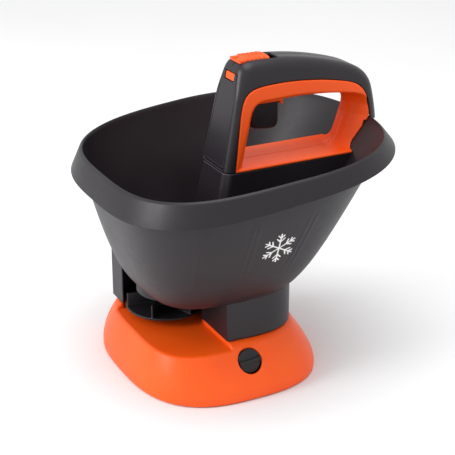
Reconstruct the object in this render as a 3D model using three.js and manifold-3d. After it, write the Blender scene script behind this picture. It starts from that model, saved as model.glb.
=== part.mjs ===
// Handheld battery salt spreader, in millimetres, +Z up.
// The origin is at the middle of the footprint, on the surface the spreader stands on.
// -Y is the front, where the salt is thrown out, and +X is the side with the speed dial.
import * as THREE from 'three';
import { mergeVertices } from 'three/addons/utils/BufferGeometryUtils.js';
import Module from 'manifold-3d';

const wasm = await Module();
wasm.setup();

const GAP = 0.35; // clearance left between pieces that touch
const FAR = 400; // longer than the object, for cutting blocks

// Hopper: an outline of two half superellipses whose rim rises to the rear
const RIM_HALF_WIDTH = 128.7;
const RIM_HALF_LENGTH = 134.6;
const RIM_FRONT_POWER = 3.15;
const RIM_REAR_POWER = 2.2;
const RIM_EGG = 0.035; // share by which the rear half of the rim is wider than the front
const RIM_FLARE = 0.023;
const RIM_MID_Z = 221.6;
const RIM_TILT = 0.0836;
const RIM_SAG = 0.000235;
const RIM_LIP = 3.2;
const BAND_REACH = 12.3;
const BAND_DROP = 17.7;
const BAND_DROP_TAPER = 0.0402;
const BAND_WALL = 2.6;
const HOPPER_WALL = 2.8;
const HOPPER_BOTTOM_Z = 86;
const HOPPER_FLOOR_Z = 89;
const HOPPER_FOOT = { halfWidth: 72, front: -102, rear: 32, frontPower: 3.2, rearPower: 3.2 };
const WALL_FRONT_POWER = 1.4; // how the front and rear walls curve in towards the foot
const WALL_REAR_POWER = 1;
const OUTLINE_POINTS = 40;

// Neck between the hopper and the base, open to the front and the dial side
const NECK_BOTTOM_Z = 48;
const NECK_TOP_Z = 100;
const NECK_FRONT_Y = -102.4;
const NECK_WALL = 2.6;
const THROW_WALL_Y = -46.8;
const THROW_POST_X = -43.7;

// Drive: everything that turns is on this axis
const SHAFT_X = -19;
const SHAFT_Y = -67.3;
const SHAFT_RADIUS = 3;
const CHAMBER_RADIUS = 42;
const IMPELLER_RADIUS = 39;
const IMPELLER_Z = 51.8;
const IMPELLER_DISC = 2.2;
const VANE_HEIGHT = 13;
const VANE_COUNT = 6;
const HUB_RADIUS = 9;

// Base
const BASE_HALF_WIDTH = 107.6;
const BASE_HALF_LENGTH = 93.6;
const BASE_CENTRE_Y = -31.8;
const BASE_POWER = 2.82;
const BASE_SKIRT_BOTTOM = 1;
const BASE_SKIRT_TOP = 10;
const BASE_TOP_Z = NECK_BOTTOM_Z - GAP;
const BASE_TOP = { halfWidth: 78, front: -109.5, rear: 40 };
const BASE_WALL = 2.8;
const DECK_Z = 43;
const FOOT_RADIUS = 8;
const PLATE_Z = 2.6;
const PLATE_THICKNESS = 2.5;

// Speed dial, on a boss tilted up on the side of the base
const DIAL_POS = [88.5, -31.6, 31.2];
const DIAL_TILT = THREE.MathUtils.degToRad(24);
const DIAL_RADIUS = 11.5;
const DIAL_FACE = 2.5;
const DIAL_BAR_ANGLE = 95;

// Handle: a hollow arch over the hopper, seen from the side in Y and Z
const HANDLE_BOTTOM_Z = 195.3;
const HANDLE_FRONT_Y = -24.3;
const HANDLE_TAPER = 0.08;
const HANDLE_HALF_WIDTH = 28.4;
const HANDLE_WALL = 2.5;
const FRONT_LEAN = THREE.MathUtils.degToRad(11.73);
const LEDGE_TOP_Z = 197.6;
const LINER_WALL = 2.2;
const COLUMN_DEPTH = 21.4;

// Battery: two tubes of two cells each, leaning with the front face
const CELL_RADIUS = 7.1;
const CELL_LENGTH = 50;
const CELL_SPACING = 15.4;
const CELL_DEPTH = 10.2;
const TUBE_RADIUS = 7.4;
const TRAY = { halfWidth: 16.2, front: 2.9, back: 18.5, bottom: -56, top: 53.5 };

// Trigger, rod and shutter. The rod slides along the lean of the tower, and its cam blade moves the shutter.
const TRIGGER = { halfWidth: 9.6, front: 12, rear: 41, bottom: 228.5, flange: 259.9, top: 262.3 };
const TRIGGER_TRAVEL = 6;
const ROD_X = 18.2;
const ROD_DEPTH = 11.6;
const ROD_RADIUS = 1.5;
const ARM_END_X = 19.3;
const OUTLET = { x0: -5, x1: 12, y0: -70, y1: -63.5 };
const SHUTTER_TRAVEL = 7;
const SHUTTER_Z = 80;
const SHUTTER_THICKNESS = 2;
const CAM_PIN = { y: -31.5, z: 68, radius: 1.3 };
const WIRE_X = -19;
const WIRE_Y = -17;
const GUIDE = { x: -8, y: -67, radius: 33, bottom: 74.5 };

const BLACK = { color: 0x3a363a, roughness: 0.5, metalness: 0 };
const DARK = { color: 0x242226, roughness: 0.55, metalness: 0 };
const ORANGE = { color: 0xf25018, roughness: 0.45, metalness: 0 };
const RUBBER = { color: 0x1c1c1d, roughness: 0.9, metalness: 0 };
const STEEL = { color: 0xb9bcc0, roughness: 0.3, metalness: 1 };
const BOARD = { color: 0x1f5b35, roughness: 0.5, metalness: 0 };
const CELL = { color: 0x2b5d8c, roughness: 0.35, metalness: 0.2 };
const COPPER = { color: 0x9a2a22, roughness: 0.6, metalness: 0 };

// ---- solids ----

function solid(geometry) {
  const bare = geometry.clone();
  bare.deleteAttribute('normal');
  bare.deleteAttribute('uv');
  const merged = mergeVertices(bare, 1e-4);
  const vertProperties = new Float32Array(merged.attributes.position.array);
  const triVerts = new Uint32Array(merged.index.array);
  return new wasm.Manifold(new wasm.Mesh({ numProp: 3, vertProperties, triVerts }));
}

function geometryOf(body) {
  const mesh = body.getMesh();
  const geometry = new THREE.BufferGeometry();
  geometry.setAttribute('position', new THREE.BufferAttribute(new Float32Array(mesh.vertProperties), 3));
  geometry.setIndex(Array.from(mesh.triVerts));
  geometry.computeVertexNormals();
  return geometry;
}

function block(x0, x1, y0, y1, z0, z1) {
  const box = new THREE.BoxGeometry(x1 - x0, y1 - y0, z1 - z0);
  box.translate((x0 + x1) / 2, (y0 + y1) / 2, (z0 + z1) / 2);
  return solid(box);
}

function rod(radius, from, to, sides = 20) {
  const start = new THREE.Vector3(...from);
  const way = new THREE.Vector3(...to).sub(start);
  const length = way.length();
  const cylinder = new THREE.CylinderGeometry(radius, radius, length, sides);
  cylinder.translate(0, length / 2, 0);
  const up = new THREE.Vector3(0, 1, 0);
  cylinder.applyQuaternion(new THREE.Quaternion().setFromUnitVectors(up, way.normalize()));
  cylinder.translate(start.x, start.y, start.z);
  return solid(cylinder);
}

function turned(profile, sides, x = 0, y = 0) {
  const lathe = new THREE.LatheGeometry(profile.map(([r, z]) => new THREE.Vector2(r, z)), sides);
  lathe.rotateX(Math.PI / 2);
  lathe.translate(x, y, 0);
  return solid(lathe);
}

// The skin through rings of points, all with the same count, closed by a cap at each end.
// A cap adds its triangles for a ring whose points start at a base, and may add points.
function skinned(rings, addCap) {
  const count = rings[0].length;
  const positions = rings.flat(2);
  const index = [];
  for (let row = 0; row + 1 < rings.length; row += 1) {
    for (let k = 0; k < count; k += 1) {
      const a = row * count + k;
      const b = row * count + ((k + 1) % count);
      index.push(a, b, b + count, a, b + count, a + count);
    }
  }
  addCap(positions, index, rings[0], 0, true);
  addCap(positions, index, rings[rings.length - 1], (rings.length - 1) * count, false);
  const geometry = new THREE.BufferGeometry();
  geometry.setAttribute('position', new THREE.Float32BufferAttribute(positions, 3));
  geometry.setIndex(index);
  return solid(geometry);
}

function fanCap(positions, index, ring, base, flip) {
  const count = ring.length;
  const centre = positions.length / 3;
  positions.push(...[0, 1, 2].map((axis) => ring.reduce((sum, point) => sum + point[axis], 0) / count));
  for (let k = 0; k < count; k += 1) {
    const a = base + k;
    const b = base + ((k + 1) % count);
    index.push(centre, flip ? b : a, flip ? a : b);
  }
}

// A cap for an outline in Y and Z that bends inwards
function cutCap(positions, index, ring, base, flip) {
  const outline = ring.map(([, y, z]) => new THREE.Vector2(y, z));
  for (const [a, b, c] of THREE.ShapeUtils.triangulateShape(outline, [])) {
    index.push(base + a, base + (flip ? c : b), base + (flip ? b : c));
  }
}

function loft(rings) {
  return skinned(rings, fanCap);
}

function sideLoft(rings) {
  return skinned(rings, cutCap);
}

// Extrudes an outline drawn in Y and Z along X
function sideExtrude(outline, x0, x1) {
  const shape = new THREE.Shape(outline.map(([y, z]) => new THREE.Vector2(y, z)));
  const body = new THREE.ExtrudeGeometry(shape, { depth: x1 - x0, bevelEnabled: false });
  body.applyMatrix4(new THREE.Matrix4().makeBasis(
    new THREE.Vector3(0, 1, 0), new THREE.Vector3(0, 0, 1), new THREE.Vector3(1, 0, 0)));
  body.translate(x0, 0, 0);
  return solid(body);
}

// Extrudes an outline drawn in X and Y up Z
function planExtrude(outline, z0, z1) {
  const shape = new THREE.Shape(outline.map(([x, y]) => new THREE.Vector2(x, y)));
  const body = new THREE.ExtrudeGeometry(shape, { depth: z1 - z0, bevelEnabled: false });
  body.translate(0, 0, z0);
  return solid(body);
}

function union(bodies) {
  return bodies.reduce((sum, body) => sum.add(body));
}

// ---- outlines ----

function signedPower(value, power) {
  return Math.sign(value) * Math.abs(value) ** power;
}

// A closed oval: superellipse halves with their own front and rear lengths and powers
function oval({ halfWidth, front, rear, frontPower, rearPower }, centreY, count = OUTLINE_POINTS) {
  const points = [];
  for (let k = 0; k < count; k += 1) {
    const angle = (2 * Math.PI * k) / count;
    const power = Math.sin(angle) < 0 ? frontPower : rearPower;
    const reach = Math.sin(angle) < 0 ? centreY - front : rear - centreY;
    const x = halfWidth * signedPower(Math.cos(angle), 2 / power);
    const y = centreY + reach * signedPower(Math.sin(angle), 2 / power);
    points.push([x, y]);
  }
  return points;
}

// A point of a counter-clockwise outline moved out along its normal
function grownPoint(outline, k, distance) {
  const count = outline.length;
  const before = outline[(k + count - 1) % count];
  const after = outline[(k + 1) % count];
  const tangent = new THREE.Vector2(after[0] - before[0], after[1] - before[1]).normalize();
  return [outline[k][0] + tangent.y * distance, outline[k][1] - tangent.x * distance];
}

function grown(outline, distance) {
  return outline.map((point, k) => grownPoint(outline, k, distance));
}

function mixed(first, second, share) {
  return first.map(([x, y], k) => [x + (second[k][0] - x) * share, y + (second[k][1] - y) * share]);
}

function pathPoints(path, divisions) {
  return path.getPoints(divisions).map((point) => [point.x, point.y]);
}

// ---- hopper ----

const rimOutline = oval({
  halfWidth: RIM_HALF_WIDTH,
  front: -RIM_HALF_LENGTH,
  rear: RIM_HALF_LENGTH,
  frontPower: RIM_FRONT_POWER,
  rearPower: RIM_REAR_POWER,
}, 0).map(([x, y]) => {
  const rearward = y / RIM_HALF_LENGTH;
  return [x * (1 + RIM_EGG * rearward + RIM_FLARE * rearward ** 2), y];
});
const footOutline = oval(HOPPER_FOOT, (HOPPER_FOOT.front + HOPPER_FOOT.rear) / 2);

function rimZ(y) {
  return RIM_MID_Z + RIM_TILT * y - RIM_SAG * y * y;
}

// Share of the way in from the rim to the foot: a leaning wall that turns under at the bottom
function wallShape(drop, rearward) {
  const power = THREE.MathUtils.mapLinear(rearward, -1, 1, WALL_FRONT_POWER, WALL_REAR_POWER);
  return 0.8 * drop ** power + 0.2 * (1 - Math.sqrt(1 - drop ** 6));
}

function wallRing(drop, offset, bottomZ) {
  const wide = grown(rimOutline, offset);
  const low = grown(footOutline, offset);
  return wide.map((point, k) => {
    const top = rimZ(rimOutline[k][1]);
    const share = wallShape(drop, rimOutline[k][1] / RIM_HALF_LENGTH);
    const [x, y] = mixed([point], [low[k]], share)[0];
    return [x, y, top + (bottomZ - top) * drop];
  });
}

function rimRing(offset, fall) {
  return grown(rimOutline, offset).map(([x, y]) => [x, y, rimZ(y) - fall(y)]);
}

const WALL_DROPS = [1, 0.985, 0.94, 0.85, 0.65, 0.35, 0.07];

function outerRings(extra) {
  const bandFall = (y) => BAND_DROP - BAND_DROP_TAPER * y + extra;
  return [
    ...WALL_DROPS.map((drop) => wallRing(drop, HOPPER_WALL * (1 - drop) + extra, HOPPER_BOTTOM_Z - extra)),
    rimRing(BAND_REACH - BAND_WALL - extra, bandFall),
    rimRing(BAND_REACH + extra, bandFall),
    rimRing(RIM_LIP + extra, () => 1.4 - extra),
    rimRing(0, () => -extra),
  ];
}

function innerRings(inset) {
  return WALL_DROPS.map((drop) => wallRing(drop, -HOPPER_WALL * drop - inset, HOPPER_FLOOR_Z + inset));
}

function hopperEnvelope(extra) {
  return loft(outerRings(extra));
}

function hopperInside(inset) {
  const lifted = rimRing(-inset, () => -FAR);
  return loft([...innerRings(inset), rimRing(-inset, () => 0.5), lifted]);
}

const HOPPER_POST_RADIUS = 4.5;

function hopperShell() {
  const shell = loft([...outerRings(0), ...innerRings(0).reverse()]);
  const posts = bored(stackScrewPlaces, HOPPER_POST_RADIUS, NECK_BOTTOM_Z + GAP, HOPPER_BOTTOM_Z + 1);
  const low = HOPPER_BOTTOM_Z - 10;
  const outlet = block(OUTLET.x0, OUTLET.x1, OUTLET.y0, OUTLET.y1, low, 95);
  const shaftHole = rod(7, [SHAFT_X, SHAFT_Y, low], [SHAFT_X, SHAFT_Y, 95]);
  const [, rodY] = leaning(ROD_X, ROD_DEPTH, HOPPER_BOTTOM_Z + 1.5);
  const rodHoles = bored([[ROD_X, rodY], [WIRE_X, WIRE_Y]], 3.2, low, 95);
  return shell
    .add(posts)
    .subtract(union([outlet, shaftHole, rodHoles]))
    .subtract(bored(stackScrewPlaces, 1.85, 0, 70))
    .subtract(bored(guideScrewPlaces, 1.75, low, 95))
    .subtract(bored(pedestalScrewPlaces, 1.85, low, 95));
}

// ---- neck and base ----

function neckOutline(inset) {
  const front = NECK_FRONT_Y + inset;
  const side = 76 - inset;
  const corner = 69.5 - inset;
  const rear = { halfWidth: side, front: -22 - 1, rear: 41 - inset, frontPower: 2, rearPower: 2.8 };
  const back = oval(rear, -22, 36).filter(([, y]) => y > -22.01);
  return [[corner, front], [corner + 1.5, front + 2], [side - 1.5, -60], ...back,
    [-side + 1.5, -60], [-corner - 1.5, front + 2], [-corner, front]];
}

// The space the salt is thrown through, with its walls moved out by a margin
function throwCut(z0, z1, margin) {
  const chamber = rod(CHAMBER_RADIUS + margin, [SHAFT_X, SHAFT_Y, z0], [SHAFT_X, SHAFT_Y, z1], 40);
  const way = block(THROW_POST_X - margin, FAR, -FAR, THROW_WALL_Y + margin, z0, z1);
  return chamber.add(way);
}

function neckHousing() {
  const body = planExtrude(neckOutline(0), NECK_BOTTOM_Z, NECK_TOP_Z);
  const inside = planExtrude(neckOutline(NECK_WALL), NECK_BOTTOM_Z - 1, NECK_TOP_Z + 1);
  const walls = throwCut(0, FAR, NECK_WALL);
  const shutterWay = block(OUTLET.x0 - 3.4, OUTLET.x1 + 3.4, -60, -24, SHUTTER_Z - 1.6, FAR);
  return body
    .subtract(inside.subtract(walls))
    .subtract(throwCut(0, FAR, 0))
    .subtract(hopperEnvelope(GAP))
    .subtract(shutterWay);
}

function baseRing(share, z, inset) {
  const bottom = { halfWidth: BASE_HALF_WIDTH, frontPower: BASE_POWER, rearPower: BASE_POWER };
  bottom.front = BASE_CENTRE_Y - BASE_HALF_LENGTH;
  bottom.rear = BASE_CENTRE_Y + BASE_HALF_LENGTH;
  const top = { ...BASE_TOP, frontPower: 4, rearPower: 3 };
  const topCentre = (BASE_TOP.front + BASE_TOP.rear) / 2;
  const outline = mixed(oval(bottom, BASE_CENTRE_Y), oval(top, topCentre), share);
  return grown(outline, -inset).map(([x, y]) => [x, y, z]);
}

function baseSolid(inset, bottomZ, topZ) {
  const rings = [baseRing(0.02, bottomZ, inset), baseRing(0, BASE_SKIRT_TOP * 0.6, inset)];
  const rows = 5;
  for (let row = 0; row <= rows; row += 1) {
    const rise = row / rows;
    rings.push(baseRing(rise ** 1.3 * 0.97 + 0.03, BASE_SKIRT_TOP + (topZ - BASE_SKIRT_TOP) * rise, inset));
  }
  return loft(rings);
}

function dialFrame(body) {
  const turn = new THREE.Matrix4().makeRotationY(Math.PI / 2 - DIAL_TILT);
  turn.setPosition(...DIAL_POS);
  return body.transform(turn.elements);
}

const baseScrewPlaces = [[52, -96], [-56, -88], [56, 24], [-56, 24]];
const stackScrewPlaces = [[-58, -20], [58, -20], [0, 24]];
const clampScrewPlaces = [[SHAFT_X - 22, SHAFT_Y], [SHAFT_X + 22, SHAFT_Y]];

function bored(places, radius, z0, z1) {
  return union(places.map(([x, y]) => rod(radius, [x, y, z0], [x, y, z1], 12)));
}

function baseShell() {
  const outside = baseSolid(0, BASE_SKIRT_BOTTOM, BASE_TOP_Z);
  const underDeck = baseSolid(BASE_WALL, -1, DECK_Z - BASE_WALL);
  const underTop = baseSolid(BASE_WALL, -1, BASE_TOP_Z - BASE_WALL);
  const inside = underDeck.add(underTop.subtract(throwCut(DECK_Z - BASE_WALL, FAR, BASE_WALL)));
  const motorRing = collar(14.3, 16.8, 20, 41, 28);
  const posts = bored(baseScrewPlaces, 4, PLATE_Z + PLATE_THICKNESS + GAP, 45)
    .add(bored(clampScrewPlaces, 4, 8.2, 41))
    .intersect(baseSolid(1, -1, BASE_TOP_Z - 1));
  const boss = dialFrame(rod(DIAL_RADIUS + 1.8, [0, 0, -9], [0, 0, -0.2], 28));
  const bossBore = dialFrame(rod(3.3, [0, 0, -30], [0, 0, 10], 16));
  const bossSeat = dialFrame(rod(DIAL_RADIUS + 0.6, [0, 0, -1.6], [0, 0, 30], 28));
  const potRoom = dialFrame(block(-10, 10, -10, 10, -20, -3.6));
  const shaftHole = rod(SHAFT_RADIUS + 1, [SHAFT_X, SHAFT_Y, 20], [SHAFT_X, SHAFT_Y, FAR]);
  const wireHole = rod(3.2, [WIRE_X, WIRE_Y, 20], [WIRE_X, WIRE_Y, FAR], 16);
  return outside
    .add(boss)
    .subtract(inside)
    .add(motorRing.add(posts))
    .subtract(throwCut(DECK_Z, FAR, 1))
    .subtract(union([bossBore, bossSeat, potRoom, shaftHole, wireHole]))
    .subtract(bored(baseScrewPlaces, 1.85, -1, 16))
    .subtract(bored(clampScrewPlaces, 1.85, -1, 16))
    .subtract(bored(stackScrewPlaces, 1.85, 20, FAR));
}

const footPlaces = [[72, -92], [-72, -92], [72, 28], [-72, 28]];
const boardPostPlaces = [[-2, -8], [42, -8], [-2, 20], [42, 20]];

function basePlate() {
  const outline = baseRing(0, 0, BASE_WALL + 0.8).map(([x, y]) => [x, y]);
  const top = PLATE_Z + PLATE_THICKNESS;
  const plate = planExtrude(outline, PLATE_Z, top);
  return plate
    .add(bored(boardPostPlaces, 2.5, top - 0.5, 14 - GAP))
    .subtract(bored(baseScrewPlaces, 1.85, 0, 10))
    .subtract(bored(clampScrewPlaces, 3.4, 0, 10));
}

// A pan-head screw driven upwards, with the underside of its head at the height given
function screwUp([x, y], seat, reach) {
  const profile = [[0, seat - 2], [2.2, seat - 2], [2.9, seat - 1.4], [2.9, seat], [1.5, seat],
    [1.5, seat + reach - 1.5], [0, seat + reach]];
  return turned(profile, 12, x, y);
}

function foot([x, y]) {
  const top = PLATE_Z - GAP;
  return turned([[0, 0], [FOOT_RADIUS - 0.6, 0], [FOOT_RADIUS, 0.6], [FOOT_RADIUS, top], [0, top]], 24, x, y);
}

// ---- drive ----

const MOTOR = { bottom: 9.5, top: 35.6, radius: 13.9 };

function motor() {
  const { bottom, top, radius } = MOTOR;
  const bore = SHAFT_RADIUS + GAP;
  const profile = [[0, bottom - 1.5], [4, bottom - 1.5], [4, bottom], [radius, bottom], [radius, top - 1.6],
    [5, top - 1.6], [5, top], [bore, top], [bore, 26], [0, 26]];
  return turned(profile, 24, SHAFT_X, SHAFT_Y);
}

// The bar under the motor that holds it up in the ring below the deck
function motorClamp() {
  const bar = block(SHAFT_X - 26, SHAFT_X + 26, SHAFT_Y - 5, SHAFT_Y + 5, 6, 7.6);
  return bar.subtract(bored(clampScrewPlaces, 1.85, 0, 10));
}

function driveShaft() {
  const r = SHAFT_RADIUS;
  return turned([[0, 26.5], [r, 26.5], [r, 100], [r - 0.6, 101], [0, 101]], 16, SHAFT_X, SHAFT_Y);
}

function impeller() {
  const top = IMPELLER_Z + IMPELLER_DISC;
  const disc = rod(IMPELLER_RADIUS, [SHAFT_X, SHAFT_Y, IMPELLER_Z], [SHAFT_X, SHAFT_Y, top], 40);
  const hub = rod(HUB_RADIUS, [SHAFT_X, SHAFT_Y, IMPELLER_Z], [SHAFT_X, SHAFT_Y, top + VANE_HEIGHT], 24);
  const vanes = [];
  for (let k = 0; k < VANE_COUNT; k += 1) {
    const vane = new THREE.BoxGeometry(IMPELLER_RADIUS - HUB_RADIUS + 1, 1.8, VANE_HEIGHT);
    vane.translate((IMPELLER_RADIUS + HUB_RADIUS) / 2 - 1.5, -3, top + VANE_HEIGHT / 2 - 0.01);
    vane.rotateZ((2 * Math.PI * k) / VANE_COUNT + 0.35);
    vane.translate(SHAFT_X, SHAFT_Y, 0);
    vanes.push(solid(vane));
  }
  const bore = rod(SHAFT_RADIUS + GAP, [SHAFT_X, SHAFT_Y, 0], [SHAFT_X, SHAFT_Y, FAR]);
  return union([disc, hub, ...vanes]).subtract(bore);
}

function collar(inner, outer, z0, z1, sides = 24) {
  const profile = [[inner, z0], [outer, z0], [outer, z1], [inner, z1], [inner, z0]];
  return turned(profile, sides, SHAFT_X, SHAFT_Y);
}

function shaftSeal() {
  const bore = SHAFT_RADIUS + GAP;
  const flange = HOPPER_FLOOR_Z + GAP;
  const profile = [[bore, 78], [6.6, 78], [6.6, flange], [9, flange], [9, flange + 1.4], [bore, flange + 1.4],
    [bore, 78]];
  return turned(profile, 20, SHAFT_X, SHAFT_Y);
}

function agitator() {
  const hub = collar(SHAFT_RADIUS + GAP, 6.5, 92, 99);
  const fingers = [0, 1].map((k) => {
    const finger = new THREE.BoxGeometry(13, 3, 4);
    finger.translate(11.5, 0, 95);
    const tip = new THREE.BoxGeometry(3, 3, 9);
    tip.translate(16.5, 0, 99);
    const turn = new THREE.Matrix4().makeRotationZ(Math.PI * k + 0.5).setPosition(SHAFT_X, SHAFT_Y, 0);
    return solid(finger).add(solid(tip)).transform(turn.elements);
  });
  return union([hub, ...fingers]);
}

// ---- outlet, shutter and rod ----

const guideScrewPlaces = [[-32, -80], [19.8, -67]];
const SHUTTER_FRONT = OUTLET.y0 - SHUTTER_TRAVEL - 4;

function shutterGuide() {
  const top = HOPPER_BOTTOM_Z - GAP;
  const low = SHUTTER_Z - SHUTTER_THICKNESS / 2 - GAP;
  const high = SHUTTER_Z + SHUTTER_THICKNESS / 2 + GAP;
  const body = rod(GUIDE.radius, [GUIDE.x, GUIDE.y, GUIDE.bottom], [GUIDE.x, GUIDE.y, top], 40)
    .intersect(block(-FAR, FAR, -FAR, THROW_WALL_Y - GAP, 0, FAR));
  const slot = block(OUTLET.x0 - 3.4, OUTLET.x1 + 3.4, SHUTTER_FRONT - 0.4, 0, low, high);
  const outlet = block(OUTLET.x0, OUTLET.x1, OUTLET.y0, OUTLET.y1, 60, 90);
  const sealHole = rod(7, [SHAFT_X, SHAFT_Y, 60], [SHAFT_X, SHAFT_Y, 90], 20);
  return body
    .subtract(union([slot, outlet, sealHole]))
    .subtract(bored(guideScrewPlaces, 1.75, 60, 90))
    .subtract(bored(guideScrewPlaces, 3.3, 60, 77));
}

// The tail widens behind the rod, and a lug below it holds the cam pin
function shutterPlate() {
  const low = SHUTTER_Z - SHUTTER_THICKNESS / 2;
  const high = SHUTTER_Z + SHUTTER_THICKNESS / 2;
  const tail = CAM_PIN.y + 2.5;
  const plate = block(OUTLET.x0 - 3, OUTLET.x1 + 3, SHUTTER_FRONT, tail, low, high);
  const wing = block(OUTLET.x0, ROD_X + 6, CAM_PIN.y - 2.2, tail, low, high);
  const lug = block(ROD_X + 3.5, ROD_X + 6, CAM_PIN.y - 2.2, tail, CAM_PIN.z - 2.5, high);
  const pin = rod(CAM_PIN.radius, [ROD_X - 1.6, CAM_PIN.y, CAM_PIN.z], [ROD_X + 4, CAM_PIN.y, CAM_PIN.z], 12);
  const opening = block(OUTLET.x0, OUTLET.x1, OUTLET.y0 - SHUTTER_TRAVEL, OUTLET.y1 - SHUTTER_TRAVEL, 70, 90);
  return union([plate, wing, lug, pin]).subtract(opening);
}

// A point on a line that leans with the tower, at a depth behind its front face
function leaning(x, depth, z) {
  return [x, frontY(z) + depth / Math.cos(FRONT_LEAN), z];
}

// Two collars at the head hold the trigger's arm. The blade at the foot has the cam slot.
function controlRod() {
  const joinZ = CAM_PIN.z + 2;
  const headZ = 264.6;
  const shaft = rod(ROD_RADIUS, leaning(ROD_X, ROD_DEPTH, joinZ), leaning(ROD_X, ROD_DEPTH, headZ), 10);
  const collars = [TRIGGER.flange - 0.4 - 2, TRIGGER.top + 0.4].map((z) => {
    const [, y] = leaning(ROD_X, ROD_DEPTH, z + 1);
    return block(ROD_X - 2, ARM_END_X, y - 4.2, y + 4.2, z, z + 2);
  });
  const [, joinY] = leaning(ROD_X, ROD_DEPTH, joinZ);
  const blade = block(ROD_X - 1, ROD_X + 1, joinY - 1.4, CAM_PIN.y + 9, CAM_PIN.z - 9, CAM_PIN.z + 3.5);
  const room = CAM_PIN.radius + 0.4;
  const lean = TRIGGER_TRAVEL * Math.tan(FRONT_LEAN);
  const from = [CAM_PIN.y, CAM_PIN.z];
  const to = [CAM_PIN.y + SHUTTER_TRAVEL - lean, CAM_PIN.z - TRIGGER_TRAVEL];
  const ends = [from, to].map(([y, z]) => rod(room, [ROD_X - 3, y, z], [ROD_X + 3, y, z], 12));
  return union([shaft, ...collars, blade]).subtract(ends[0].add(ends[1]).hull());
}

// ---- handle ----

function halfWidth(z) {
  return HANDLE_HALF_WIDTH - HANDLE_TAPER * (z - HANDLE_BOTTOM_Z);
}

function frontY(z) {
  return HANDLE_FRONT_Y + (z - HANDLE_BOTTOM_Z) * Math.tan(FRONT_LEAN);
}

// The outline of the arch, front face first, with the rounding of its edges at each point
function archOutline() {
  const path = new THREE.Path();
  path.moveTo(HANDLE_FRONT_Y, HANDLE_BOTTOM_Z);
  path.lineTo(frontY(225), 225);
  path.lineTo(frontY(255), 255);
  path.lineTo(frontY(282), 282);
  path.bezierCurveTo(-4.6, 291, -0.5, 296, 10, 296.6);
  path.bezierCurveTo(45, 297.6, 80, 292, 110, 282.6);
  path.bezierCurveTo(128, 276.8, 138, 270, 141.2, 254);
  path.bezierCurveTo(143.2, 244, 144.6, 236, 145.4, 224);
  path.lineTo(141, 219);
  path.lineTo(114, HANDLE_BOTTOM_Z);
  return pathPoints(path, 6).reverse();
}

// Radius of the rounding between the outline and the sides, at a point of the outline
function edgeRounding([y, z]) {
  const alongTop = THREE.MathUtils.smoothstep(z, 262, 290);
  const towardsRear = THREE.MathUtils.smoothstep(y, 20, 60);
  const bevel = THREE.MathUtils.mapLinear(z, HANDLE_BOTTOM_Z, 262, 8, 5.6);
  return bevel + (12 - bevel) * Math.max(alongTop, towardsRear);
}

function archSolid(inset) {
  const outline = grown(archOutline(), -inset);
  const steps = 4;
  const ringAt = (turn, side) => outline.map((point, k) => {
    const radius = Math.max(0.4, edgeRounding(point) - inset);
    const [y, z] = grownPoint(outline, k, -radius * (1 - Math.cos(turn)));
    const x = halfWidth(z) - inset - radius * (1 - Math.sin(turn));
    return [side * x, y, z];
  });
  const rings = [];
  for (let k = -steps; k <= steps; k += 1) {
    rings.push(ringAt((Math.abs(k) / steps) * (Math.PI / 2), Math.sign(k + 0.5)));
  }
  return sideLoft(rings);
}

// The edge of the grip liner on the side of the handle
function windowOutline() {
  const path = new THREE.Path();
  path.moveTo(-14.6, HANDLE_BOTTOM_Z - 2);
  path.lineTo(-7.5, 244);
  path.bezierCurveTo(-4, 266, 0, 271, 18, 273.2);
  path.bezierCurveTo(50, 276, 85, 272.5, 112, 265.6);
  path.bezierCurveTo(127, 261, 131.4, 252, 133.4, 236);
  path.lineTo(134.6, 224.5);
  path.lineTo(129.4, 224.1);
  path.lineTo(120.8, HANDLE_BOTTOM_Z - 2);
  return pathPoints(path, 6).reverse();
}

// The finger opening inside the liner, with its front and top moved out and its rear side moved back
function openingOutline(out, back) {
  const depth = COLUMN_DEPTH / Math.cos(FRONT_LEAN) - out;
  const path = new THREE.Path();
  path.moveTo(frontY(LEDGE_TOP_Z) + depth, LEDGE_TOP_Z);
  path.lineTo(frontY(240) + depth, 240);
  path.bezierCurveTo(frontY(250) + depth, 250, 10 - out / 2, 255 + out, 19, 255.4 + out);
  path.bezierCurveTo(45, 256.8 + out, 70, 257.6 + out, 92 + back * 0.6, 254.8 + out * 0.7);
  path.bezierCurveTo(108 + back * 0.9, 252.6 + out * 0.5, 118.6 + back, 250, 118.5 + back, 240);
  path.lineTo(117 + back, 229.5);
  path.lineTo(105.8 + back, LEDGE_TOP_Z);
  return pathPoints(path, 6).reverse();
}

const doorFrame = new THREE.Matrix4().makeRotationX(-FRONT_LEAN);
doorFrame.setPosition(0, HANDLE_FRONT_Y, HANDLE_BOTTOM_Z);

function onFront(body) {
  return body.transform(doorFrame.elements);
}

const DOOR = { bottom: 3.6, middle: 62, top: 91.5, thickness: 2.3, lowHalf: 19.4, middleHalf: 17.3,
  highHalf: 12.4 };
const HINGE = { y: 1.3, z: 3.6, barrel: 1.5, pin: 0.7, halfLength: 19 };
const TONGUE = { halfWidth: 8.2, low: 84, high: 91 };

function doorOutline(extra) {
  const { bottom, middle, top, lowHalf, middleHalf, highHalf } = DOOR;
  const right = [[lowHalf, bottom - extra], [middleHalf, middle], [highHalf, top + extra]]
    .map(([x, z]) => [x + extra, z]);
  return [...right, ...right.map(([x, z]) => [-x, z]).reverse()];
}

function frontExtrude(outline, y0, y1) {
  const shape = new THREE.Shape(outline.map(([x, z]) => new THREE.Vector2(x, z)));
  const body = new THREE.ExtrudeGeometry(shape, { depth: y1 - y0, bevelEnabled: false });
  body.rotateX(Math.PI / 2);
  body.translate(0, y1, 0);
  return solid(body);
}

function hingeRod(radius, halfLength, sides) {
  return rod(radius, [-halfLength, HINGE.y, HINGE.z], [halfLength, HINGE.y, HINGE.z], sides);
}

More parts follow.
